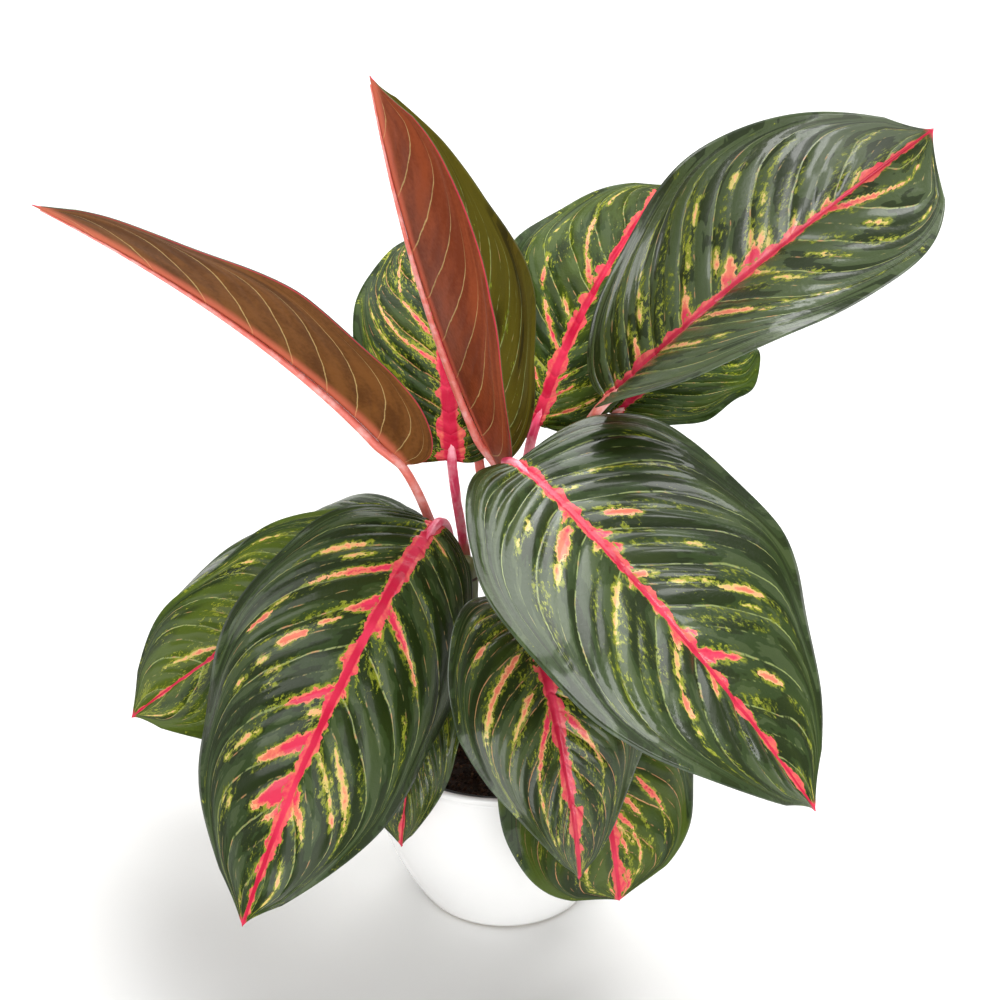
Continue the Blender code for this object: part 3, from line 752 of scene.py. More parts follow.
STALK = stalk_recipe()
ribs = {}
for name, values in LEAVES.items():
    leaf = LEAVES[name] = {**LEAF_DEFAULTS, **values}
    ribs[name] = grown_rib(leaf)
    path, radii = stalk_path(leaf, ribs[name])
    stalk = line_object(f"{name}_stalk", path)
    put_values(stalk.data, "thick", "FLOAT", radii)
    put_values(stalk.data, "run", "FLOAT", np.interp(np.arange(len(path)), (0, 37, len(path)), (0, 1, 1)))
    skin = stalk_skin(name, STALK_COLOURS.get(name, CORAL))
    follow_recipe(stalk, STALK, {"Sides": 20, "Channel": 0.22, "Material": skin})
    finished(stalk)
    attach(stalk, "root")
    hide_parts(name)

# Leaf blades
# Broad, leathery, pointed blades, puckered between the side veins and thin at the edge. The upper side is
# dark green marbled in shades, flecked lime, with pink flames running out from a pink midrib.

WIDEST = 0.42
DRIP_START = 0.86
BLADE_THICKNESS = 0.0005
BLADE_ROWS = 260
BLADE_COLUMNS = 72
PUCKERS = {"leaf_01": 0.4, "leaf_02": 0.35, "leaf_07": 1.7, "leaf_08": 1.3}
PUCKER_USUAL = 0.9
FURROW_DEPTH = 0.0005
FURROW_WIDTH = 0.0016
VEINS_END = 0.93
VEIN_LEAN = 0.12
VEIN_BEND = 0.03


def vein_count(t, across, veins):
    """The side vein that a place lies on. Veins lean to the tip and bend along the edge."""
    inside = across.between(0, VEINS_END)
    return (t - inside * VEIN_LEAN - inside ** 6 * VEIN_BEND / (1.03 - inside)) * veins


def blade_recipe():
    """A blade grown along the object's own line, its midrib, from flat sheet to puckered and curled."""
    inputs = {"Rows": "Int", "Columns": "Int", "Length": "Float", "Veins": "Float", "Pucker": "Float"}
    inputs |= {"Wave": "Float", "Waves": "Float", "Phase": "Float", "Lobe": "Float", "Seed": "Float"}
    halves = ("width", "rise", "curl", "blunt", "base round")
    inputs |= {f"{half} {form}": "Float" for form in halves for half in ("Left", "Right")}
    inputs |= {"Thickness": "Float", "Material": "Material", "Under material": "Material"}
    tree, given, result = start_recipe("leaf_blade", inputs)
    value = {label: Figure(tree, socket) for label, socket in given.items()}
    rows = value["Rows"] + 1
    columns = value["Columns"] + 1
    size = {"Size X": 1.0, "Size Y": 2.0, "Vertices X": rows, "Vertices Y": columns}
    sheet = put(tree, "GeometryNodeMeshGrid", size).outputs[0]
    place = tree.nodes.new("GeometryNodeInputPosition").outputs[0]
    x, y, _ = vector_parts(tree, place)
    t = (x + 0.5).between(0, 1)
    side = y * -1
    across = side.size()
    on_right = side.over(0)
    of = {form: on_right.either(value[f"Left {form}"], value[f"Right {form}"]) for form in halves}

    # The outline: a round lower part, a fuller upper part and a drawn-out drip tip
    angle = (t / WIDEST).between(0, 1) * (math.pi / 2)
    low_width = angle.sine().between(0, 1) ** of["base round"]
    low_place = (1 - angle.cosine()) * WIDEST
    q = ((t - WIDEST) / (1 - WIDEST)).between(0, 1)
    shoulder = 1 - (of["blunt"] * math.log(DRIP_START)).work("EXPONENT")
    drip = shoulder * ((1 - q) / (1 - DRIP_START)).between(0, 1) ** 1.35
    high_width = q.over(DRIP_START).either(1 - q ** of["blunt"], drip)
    upper = (t - WIDEST).over(0)
    width = upper.either(low_width, high_width)
    edge = upper.either(low_place, q * (1 - WIDEST) + WIDEST)
    edge = edge - value["Lobe"] * ((t / 0.25).between(0, 1) * math.pi).sine() - t ** 6 * 0.015

    # Where the point lies on the flat leaf
    start = (t * 0.02 + t ** 1.55 * 0.98) * 0.985
    along = start + (edge - start) * (across * 0.45 + across * across * 0.55)
    full = of["width"] * MM
    outward = full * width * across

    # The cross-section: raised from the rib by an angle and bent along a circle
    rise = of["rise"] * (math.pi / 180)
    bend = of["curl"] * (math.pi / 180) / full
    turned = rise + bend * outward
    sideways = (turned.sine() - rise.sine()) / bend
    height = (rise.cosine() - turned.cosine()) / bend
    ripple = (along * value["Waves"] * (2 * math.pi) + value["Phase"] + on_right * 1.7).sine()
    height = height + value["Wave"] * MM * ripple * across * across * (width * 1.3).between(0, 1)

    # Puckers between the side veins, which sweep forward at the edge, and the furrow over the midrib
    vein = vein_count(t, across, value["Veins"])
    patchy = made_vector(tree, vein * 0.45 + value["Seed"], side * 1.8, value["Seed"])
    inputs = {"Vector": patchy, "Scale": 1.0, "Detail": 1.0}
    uneven = Figure(tree, put(tree, "ShaderNodeTexNoise", inputs).outputs[0])
    crest = ((vein * math.pi).sine().size() ** 0.7 - 0.62) * 0.75
    crest = crest + ((vein * (2 * math.pi)).sine().size() ** 0.8 - 0.58) * (uneven * 1.5 - 0.25)
    reach = ((across * 1.1).between(0, 1) ** 0.75 * math.pi).sine().between(0, 1) ** 0.8
    reach = reach * (width * 2).between(0, 1)
    ends = ((1 - t) * 9).between(0, 1)
    height = height + value["Pucker"] * MM * crest * reach * ends * (uneven * 2.4 - 0.1)
    height = height + (uneven - 0.5) * 0.004 * across * (width * 1.3).between(0, 1)
    height = height - (outward / FURROW_WIDTH * (outward / FURROW_WIDTH) * -1).work("EXPONENT") * FURROW_DEPTH

    # From the flat leaf to its place along the midrib
    on_rib = along.between(0, 1) * RIB_STEPS
    lower = on_rib.whole().between(0, RIB_STEPS - 1)
    part = on_rib - lower

    def read(name):
        kind = "GeometryNodeInputPosition" if name == "place" else "GeometryNodeInputNamedAttribute"
        field = tree.nodes.new(kind)
        if name != "place":
            field.data_type = "FLOAT_VECTOR"
            field.inputs["Name"].default_value = name
        found = []
        for index in (lower, lower + 1):
            inputs = {"Geometry": given["Geometry"], "Value": field.outputs[0], "Index": index}
            found.append(put(tree, "GeometryNodeSampleIndex", inputs, data_type="FLOAT_VECTOR").outputs[0])
        return put(tree, "ShaderNodeMix", {0: part, 1: found[0], 2: found[1]}, data_type="VECTOR").outputs[1]

    def shifted(point, direction, distance):
        return put(tree, "ShaderNodeVectorMath", {0: direction, 1: vector_of(distance), 2: point},
                   operation="MULTIPLY_ADD").outputs[0]

    def vector_of(figure):
        return made_vector(tree, figure, figure, figure)

    beyond = (along - along.between(0, 1)) * value["Length"] * MM
    point = shifted(read("place"), read("along"), beyond)
    point = shifted(point, read("right"), on_right.either(sideways * -1, sideways))
    point = shifted(point, read("over"), height)
    lengthways = along * value["Length"] * MM
    sheet_place = made_vector(tree, side, vein, along)
    flat_place = made_vector(tree, on_right.either(outward * -1, outward), lengthways, 0.0)
    for label, figure in (("sheet", sheet_place), ("flat", flat_place)):
        inputs = {"Geometry": sheet, "Name": label, "Value": figure}
        sheet = put(tree, "GeometryNodeStoreNamedAttribute", inputs, data_type="FLOAT_VECTOR").outputs[0]
    moved = put(tree, "GeometryNodeSetPosition", {"Geometry": sheet, "Position": point})
    sewn = put(tree, "GeometryNodeMergeByDistance", {"Geometry": moved.outputs[0], "Distance": 1e-7})
    facing = tree.nodes.new("GeometryNodeInputNormal").outputs[0]
    half = value["Thickness"] * -0.5
    sink = put(tree, "ShaderNodeVectorMath", {0: facing, 1: vector_of(half)}, operation="MULTIPLY").outputs[0]
    lower = put(tree, "GeometryNodeSetPosition", {"Geometry": sewn.outputs[0], "Offset": sink}).outputs[0]
    inputs = {"Mesh": lower, "Offset Scale": given["Thickness"], "Individual": False}
    upper = put(tree, "GeometryNodeExtrudeMesh", inputs).outputs[0]
    flipped = put(tree, "GeometryNodeFlipFaces", {0: lower}).outputs[0]
    inputs = {"Geometry": flipped, "Name": "underneath", "Value": True}
    marked = put(tree, "GeometryNodeStoreNamedAttribute", inputs, data_type="BOOLEAN", domain="FACE")
    shell = tree.nodes.new("GeometryNodeJoinGeometry")
    for half_shell in (upper, marked.outputs[0]):
        tree.links.new(half_shell, shell.inputs[0])
    closed = put(tree, "GeometryNodeMergeByDistance", {"Geometry": shell.outputs[0], "Distance": 1e-7})
    close_recipe(tree, closed.outputs[0], given["Material"], result)
    underneath = put(tree, "GeometryNodeInputNamedAttribute", {"Name": "underneath"}, data_type="BOOLEAN")
    dressed = result.inputs[0].links[0].from_socket
    inputs = {"Geometry": dressed, "Selection": underneath.outputs[0], "Material": given["Under material"]}
    tree.links.new(put(tree, "GeometryNodeSetMaterial", inputs).outputs[0], result.inputs[0])
    return tree


# How each upper side is marked: the seed of its patterns, how much lime fleck, how grey and how fresh the
# green is, how pink the side veins are, half the width of the pink midrib in millimetres, and where needed
# how glossy the skin is
MARKS = {
    "leaf_01": dict(seed=11, fleck=0.3, grey=0.2, fresh=0.3, pink=0.3, rib=1.8),
    # leaf_02 is painted in the backlit browns, its full fresh share the palest of them
    "leaf_02": dict(seed=23, fleck=0.05, grey=0.0, fresh=1.0, pink=0.2, rib=1.8, gloss=0.4),
    "leaf_03": dict(seed=31, fleck=0.6, grey=0.3, fresh=0.3, pink=1.0, rib=5.0, gloss=0.15),
    "leaf_04": dict(seed=47, fleck=0.3, grey=0.5, fresh=0.5, pink=0.3, rib=3.6, gloss=0.2),
    "leaf_05": dict(seed=53, fleck=0.0, grey=1.0, fresh=0.15, pink=0.3, rib=2.8, gloss=2.2),
    "leaf_06": dict(seed=61, fleck=0.2, grey=0.1, fresh=0.35, pink=0.3, rib=2.4, gloss=0.05),
    "leaf_07": dict(seed=79, fleck=0.0, grey=0.5, fresh=0.15, pink=0.15, rib=3.0, gloss=1.1),
    "leaf_08": dict(seed=83, fleck=0.2, grey=0.55, fresh=0.1, pink=0.3, rib=3.2, gloss=0.6),
    "leaf_09": dict(seed=97, fleck=0.6, grey=0.1, fresh=0.9, pink=0.3, rib=1.9, gloss=0.35),
    "leaf_10": dict(seed=103, fleck=0.3, grey=0.5, fresh=0.2, pink=0.2, rib=1.6, gloss=0.7),
    "leaf_11": dict(seed=113, fleck=0.35, grey=0.5, fresh=0.2, pink=0.6, rib=3.8, gloss=1.3),
    "leaf_12": dict(seed=127, fleck=0.0, grey=0.2, fresh=0.7, pink=0.7, rib=3.6, gloss=0.6),
    "leaf_13": dict(seed=131, fleck=0.5, grey=0.2, fresh=0.4, pink=0.4, rib=1.6),
    "leaf_14": dict(seed=149, fleck=0.5, grey=0.3, fresh=0.4, pink=0.4, rib=1.8),
}
# The flames on each half: (side vein, start and end from 0 at the rib to 1 at the edge, half width in
# millimetres, heat at start and end). A flame that crosses to another vein has both vein numbers. Heat runs
# from 0, lime, to 10, crimson.
FLAMES = {
    "leaf_03": dict(
        left=(
            ((6.5, 7), 0.05, 0.35, 1.2, 8, 6), ((7, 8.1), 0.35, 0.7, 0.9, 6, 5),
            ((5.5, 6), 0.05, 0.5, 1.1, 8, 6), ((6, 7.3), 0.5, 0.75, 1, 6, 5),
            ((4.75, 4.6), 0, 0.5, 1.6, 9, 6), ((4.6, 4.9), 0.5, 0.76, 0.9, 6, 6),
            ((4.9, 6.4), 0.76, 0.88, 0.8, 6, 5), ((4, 4.1), 0.55, 0.8, 0.6, 4, 3),
            ((4.4, 5.2), 0.9, 0.96, 0.6, 4, 4),
        ),
    ),
    "leaf_04": dict(
        left=(
            ((6.1, 6.4), 0.02, 0.28, 1.2, 8, 6), ((6.4, 7), 0.28, 0.62, 1, 7, 5),
            ((7.4, 7.6), 0.7, 0.8, 0.9, 5, 3), ((3.8, 4.4), 0.05, 0.4, 1.3, 8, 6),
            ((4.6, 5.1), 0.5, 0.62, 1, 7, 6), ((5.2, 6), 0.75, 0.85, 0.9, 4, 2),
            ((2.2, 3.05), 0.1, 0.35, 1.1, 7, 5), ((3.45, 3.6), 0.38, 0.44, 0.8, 6, 5),
            ((4.9, 5.1), 0.1, 0.25, 0.8, 6, 4),
        ),
        right=(
            ((2, 2.2), 0, 0.3, 1.8, 9, 7), ((0.8, 1.25), 0.2, 0.7, 1, 7, 5), ((2.6, 2.9), 0, 0.25, 2.2, 9, 8),
        ),
    ),
    "leaf_05": dict(
        left=(
            (1.2, 0, 0.2, 2, 7, 5), (1.7, 0.45, 0.95, 0.5, 1, 0), (2.4, 0, 0.28, 2.2, 7, 5),
            (2.2, 0.3, 0.4, 1.4, 3, 2), (2.7, 0.3, 0.55, 1.2, 4, 2), (2.7, 0.55, 0.8, 0.8, 1, 1),
            (3.4, 0.1, 0.4, 0.8, 1, 0), (3.4, 0.4, 0.8, 0.35, 0, 0), (3.7, 0.2, 0.4, 1, 0, 0),
            (4.2, 0, 0.25, 2.8, 8, 5), (4.3, 0.3, 0.52, 1.5, 3, 1), (4.4, 0.55, 0.75, 1.2, 3, 2),
            (5.15, 0.15, 0.3, 1.2, 5, 4), (5.3, 0.35, 0.6, 0.4, 1, 0), (5.4, 0.62, 0.72, 1, 4, 3),
            (5.5, 0, 0.22, 4, 8, 4), (6.1, 0, 0.15, 5.5, 9, 7), (6.05, 0.1, 0.3, 1.2, 6, 2),
            (6.35, 0.08, 0.25, 1.2, 6, 1), (6.5, 0.05, 0.2, 1, 5, 1), (6.3, 0.3, 0.75, 0.7, 3, 1),
            (6.1, 0.45, 0.6, 1.3, 0, 0), (6.8, 0.1, 0.5, 0.4, 0, 0), (7.1, 0, 0.15, 2.2, 8, 3),
            (7.5, 0, 0.1, 1.5, 5, 2), (7.8, 0, 0.1, 2, 8, 4), (7.9, 0.15, 0.55, 0.45, 0, 0),
            (8.1, 0.5, 0.8, 0.6, 1, 1), (8.4, 0.03, 0.2, 1.2, 4, 1), (8.8, 0.05, 0.25, 1, 1, 0),
        ),
        right=(
            (3.2, 0.05, 0.5, 1.2, 6, 4), (3.3, 0.55, 0.65, 0.9, 3, 3), (4.3, 0, 0.2, 1, 5, 4),
            (4.5, 0.12, 0.62, 1.4, 6, 5), (4.8, 0.62, 0.72, 0.8, 3, 2), (5, 0.75, 0.85, 0.8, 5, 4),
            (5.1, 0.85, 0.97, 0.5, 2, 2), (5.5, 0.2, 0.35, 1.2, 0, 0), (5.8, 0.3, 0.5, 1, 4, 3),
            (6, 0, 0.3, 1.5, 7, 2), (6.6, 0.3, 0.6, 0.5, 2, 1), (7.1, 0.6, 0.8, 0.5, 3, 2),
            (7.4, 0.8, 0.92, 0.6, 4, 4), (6.6, 0.42, 0.5, 1.4, 1, 1), (7.6, 0.42, 0.55, 0.8, 5, 4),
            ((7.8, 8.8), 0, 0.5, 2.4, 8, 5), ((8.2, 8.5), 0.1, 0.3, 1.4, 0, 0),
        ),
    ),
    "leaf_07": dict(
        left=(
            (1.2, 0, 0.08, 1.6, 8, 5), (2.15, 0.2, 0.75, 0.8, 3, 1), (2.6, 0, 0.15, 1.2, 6, 3),
            (3.4, 0.1, 0.7, 0.7, 1, 0), (3.6, 0.14, 0.3, 2.2, 7, 5), (4.1, 0, 0.1, 3.5, 8, 8),
            (4.5, 0, 0.08, 4, 8, 8), (4.5, 0.15, 0.4, 0.5, 1, 0), (4.5, 0.42, 0.5, 1.2, 3, 3),
            (5.25, 0, 0.14, 1.7, 7, 4), (5.45, 0.15, 0.42, 0.7, 2, 3), (5.55, 0.42, 0.68, 1.6, 4, 5),
            (5.6, 0.7, 0.85, 0.5, 1, 0), (6.3, 0.1, 0.6, 0.35, 0, 0), (6.6, 0, 0.1, 2.2, 9, 7),
            (7.05, 0, 0.3, 3, 9, 7), (7.35, 0.35, 0.55, 1.5, 6, 5), (7.6, 0.6, 0.75, 0.6, 1, 0),
            (8.7, 0.8, 0.95, 1.3, 4, 3), (9.3, 0.85, 1, 1.8, 8, 8),
        ),
        right=(
            (2.4, 0, 0.1, 2.2, 8, 5), (2.5, 0.36, 0.44, 1.3, 4, 3), (2.4, 0.52, 0.6, 1.1, 3, 3),
            (3.3, 0, 0.15, 2.4, 9, 7), (3.5, 0.12, 0.38, 2.8, 7, 5), (3.5, 0.38, 0.52, 1.6, 5, 3),
            (3.2, 0.6, 0.85, 0.6, 1, 0), (4.45, 0.2, 0.5, 0.4, 0, 0), (4.3, 0, 0.1, 2.2, 7, 3),
            (5, 0.12, 0.55, 1.3, 4, 2), (5.2, 0.2, 0.45, 1.4, 0, 0), (4.8, 0.62, 0.7, 1.4, 0, 0),
            (4.95, 0.6, 0.85, 0.6, 1, 0), (5.3, 0, 0.08, 2.2, 8, 6), (5.6, 0.2, 0.7, 0.35, 0, 0),
            (6, 0, 0.06, 2, 8, 6), (6.5, 0, 0.15, 3, 8, 5), (6.45, 0.15, 0.42, 1.2, 5, 3),
            (6.5, 0.46, 0.58, 1.8, 7, 5), (6.5, 0.66, 0.85, 1, 3, 1), (7.4, 0, 0.2, 2.4, 8, 4),
            (7.8, 0.15, 0.4, 0.5, 0, 0), (8.6, 0, 0.08, 2.4, 9, 8),
        ),
    ),
    "leaf_08": dict(
        left=(
            (1.2, 0.1, 0.4, 1.2, 5, 4), (4, 0, 0.55, 2.6, 9, 5), (4.6, 0.6, 0.8, 0.8, 3, 2),
            (4.5, 0, 0.12, 2.8, 8, 7), (5.9, 0, 0.1, 2.2, 9, 8), (6.6, 0.2, 0.8, 1.1, 3, 5),
            (7, 0.05, 0.6, 0.9, 3, 5), (7.8, 0, 0.42, 2.4, 9, 4), (8, 0, 0.15, 3, 7, 3),
            (8.4, 0.4, 0.85, 1.2, 3, 4), (9.3, 0.5, 0.8, 1, 9, 9),
        ),
        right=(
            (1.9, 0.35, 0.62, 1.2, 5, 4), (2.35, 0.25, 0.42, 1.1, 4, 3), (2.9, 0, 0.55, 2.4, 9, 5),
            (3.3, 0.66, 0.78, 1.8, 6, 6), (3.1, 0.6, 0.68, 0.8, 4, 4), (4, 0, 0.2, 4.2, 9, 6),
            (4.25, 0.2, 0.32, 1.2, 6, 4), (4.4, 0.36, 0.52, 2.4, 6, 5), (4.65, 0.55, 0.64, 1.2, 4, 3),
            (4.8, 0.68, 0.76, 1.2, 4, 3), (5.05, 0.4, 0.55, 1.5, 2, 1), (5.4, 0.42, 0.5, 1.3, 1, 1),
            (5.3, 0, 0.08, 4.4, 9, 7), (6, 0, 0.36, 2.8, 9, 7), (6.35, 0.45, 0.72, 0.9, 4, 3),
            (6.4, 0, 0.14, 1.6, 6, 4), (6.95, 0, 0.42, 3.6, 9, 5), (7.1, 0.66, 0.76, 1.5, 1, 1),
            (7.3, 0.6, 0.7, 1.5, 2, 1), (7.75, 0, 0.38, 5, 9, 6), (8.15, 0, 0.22, 2.3, 8, 5),
            (8.6, 0, 0.08, 4, 9, 8), (8.85, 0.55, 0.62, 1.5, 1, 1), (8.75, 0.82, 0.94, 1.8, 6, 5),
            (9, 0, 0.12, 2.4, 9, 8),
        ),
    ),
    "leaf_09": dict(
        left=(
            ((8.1, 8.6), 0.55, 0.8, 1, 4, 3),
        ),
        right=(
            ((7.4, 8.3), 0.02, 0.35, 1.6, 5, 3), ((3, 3.1), 0.76, 0.95, 1.2, 4, 3),
            ((4.5, 4.6), 0.64, 0.85, 1, 4, 2), ((6.4, 6.6), 0.35, 0.5, 0.9, 1, 0),
        ),
    ),
    "leaf_11": dict(
        left=(
            ((5.4, 6.2), 0, 0.55, 2.4, 9, 4), ((6.2, 7.2), 0.55, 0.66, 1.2, 4, 3),
            ((7.2, 8.2), 0.6, 0.66, 1, 3, 1), ((6, 6.6), 0.2, 0.4, 2, 1, 0), ((6.9, 7.2), 0.1, 0.25, 1, 3, 2),
            ((7.6, 8), 0.3, 0.4, 1.4, 0, 0), ((8.6, 9.6), 0.9, 0.95, 1.1, 5, 7),
        ),
        right=(
            ((3.2, 3.8), 0.2, 0.9, 1.4, 6, 3), ((2, 2.1), 0.55, 0.7, 1.3, 6, 5),
            ((4.6, 4.8), 0.2, 0.42, 1.4, 5, 4), ((4.8, 5), 0.45, 0.72, 0.9, 4, 1),
            ((5.4, 6.4), 0, 0.5, 2.4, 8, 6), ((6.4, 7.2), 0.5, 0.78, 1.3, 5, 3), (6.2, 0.1, 0.25, 2, 0, 0),
            ((7.2, 7.8), 0.08, 0.45, 0.9, 3, 1), (7.6, 0.65, 0.72, 0.9, 2, 2), (8.3, 0.35, 0.45, 0.9, 2, 2),
            ((9.2, 9.8), 0.6, 0.9, 0.7, 8, 8),
        ),
    ),
    "leaf_12": dict(
        left=(
            ((6.35, 6.85), 0.35, 0.63, 1.4, 8, 7), ((6.85, 7.9), 0.63, 0.76, 0.7, 4, 2),
            ((7, 7.35), 0.12, 0.36, 1.2, 7, 6), ((7.35, 8.1), 0.36, 0.6, 0.5, 4, 1),
            ((7.45, 7.9), 0, 0.27, 1.4, 8, 7), ((7.9, 8.7), 0.27, 0.47, 1, 6, 4),
            ((7.9, 8.7), 0, 0.24, 2.4, 9, 5), ((9.1, 8.95), 0.22, 0.75, 1.7, 8, 7),
            ((9.4, 9.5), 0.1, 0.4, 1.8, 10, 9), ((7.9, 8.2), 0.05, 0.25, 0.8, 5, 4),
        ),
        right=(
            ((9.05, 9.3), 0.38, 0.5, 0.9, 6, 8), (9.2, 0.6, 0.75, 1, 6, 6),
            ((7.9, 8.4), 0.35, 0.7, 0.8, 4, 3),
        ),
    ),
}
FLAME_HALVES = ("left", "right")
# Side veins slant, so they lie closer to each other than their starts along the midrib
VEIN_SLANT = 0.8
# Depth in millimetres of a point that is in no flame
NO_FLAME = -9.0
# Short pale dashes strewn along the side veins of every leaf
DABS = 9
DAB_START = (0.1, 0.8)
DAB_REACH = (0.06, 0.22)
DAB_HALF_WIDTH = (0.2, 0.5)
DEEP_GREEN = (0.014, 0.025, 0.004, 1)
MID_GREEN = (0.026, 0.046, 0.011, 1)
GREY_GREEN = (0.050, 0.074, 0.026, 1)
FRESH_GREEN = (0.085, 0.125, 0.010, 1)
LIME = (0.23, 0.26, 0.022, 1)
OLIVE = (0.095, 0.120, 0.008, 1)
PALE_VEIN = (0.36, 0.43, 0.15, 1)
PALE_YELLOW = (0.58, 0.46, 0.13, 1)
PEACH = (0.82, 0.38, 0.18, 1)
SALMON = (0.74, 0.18, 0.11, 1)
FLAME_PINK = (0.66, 0.035, 0.085, 1)
CRIMSON = (0.48, 0.008, 0.040, 1)
# Where each colour begins to show and where it is full, by warmth from 0 to 1
FLAME_COLOURS = (
    (0.02, 0.10, PALE_YELLOW), (0.16, 0.30, PEACH), (0.34, 0.50, SALMON), (0.58, 0.74, FLAME_PINK),
    (0.84, 0.95, CRIMSON),
)
# Pale grey-green for a painted sheen: light caught along the leaf edges
PAINTED_SHEEN_EDGE = (0.20, 0.27, 0.20, 1)
BRONZE = (0.16, 0.060, 0.013, 1)
BRONZE_DARK = (0.085, 0.030, 0.006, 1)
RUST = (0.24, 0.048, 0.014, 1)
RUST_DARK = (0.15, 0.027, 0.007, 1)
VEIN_CREAM = (0.56, 0.40, 0.16, 1)
GREENS = (DEEP_GREEN, MID_GREEN, GREY_GREEN, FRESH_GREEN)
# Greens of leaf_02's upper side turned olive brown: painted light, the glow of light shining through the
# reddish leaf from behind
BACKLIT_BROWNS = (
    (0.030, 0.023, 0.003, 1), (0.058, 0.043, 0.004, 1), (0.080, 0.058, 0.006, 1), (0.105, 0.088, 0.008, 1),
)
UNDER_GREEN = (0.090, 0.105, 0.045, 1)
UNDER_GREEN_DARK = (0.050, 0.062, 0.030, 1)
UNDER_SIDES = {"leaf_01": (BRONZE, BRONZE_DARK), "leaf_02": (RUST, RUST_DARK), "leaf_03": (RUST, BRONZE_DARK)}


def leaf_figures(tree):
    """The surface's own places: vein number, side, share of the way to the edge, metres out, share along."""
    read = put(tree, "ShaderNodeAttribute", attribute_name="sheet").outputs["Vector"]
    side, vein, share = vector_parts(tree, read)
    read = put(tree, "ShaderNodeAttribute", attribute_name="flat").outputs["Vector"]
    outward, _, _ = vector_parts(tree, read)
    return vein, side, side.size(), outward.size(), share


def vein_lines(tree, vein, half_width, soft):
    """1 on the side veins and 0 between them."""
    nearest = (vein + 0.5 - (vein + 0.5).whole() - 0.5).size()
    return eased(tree, nearest, half_width + soft, half_width)


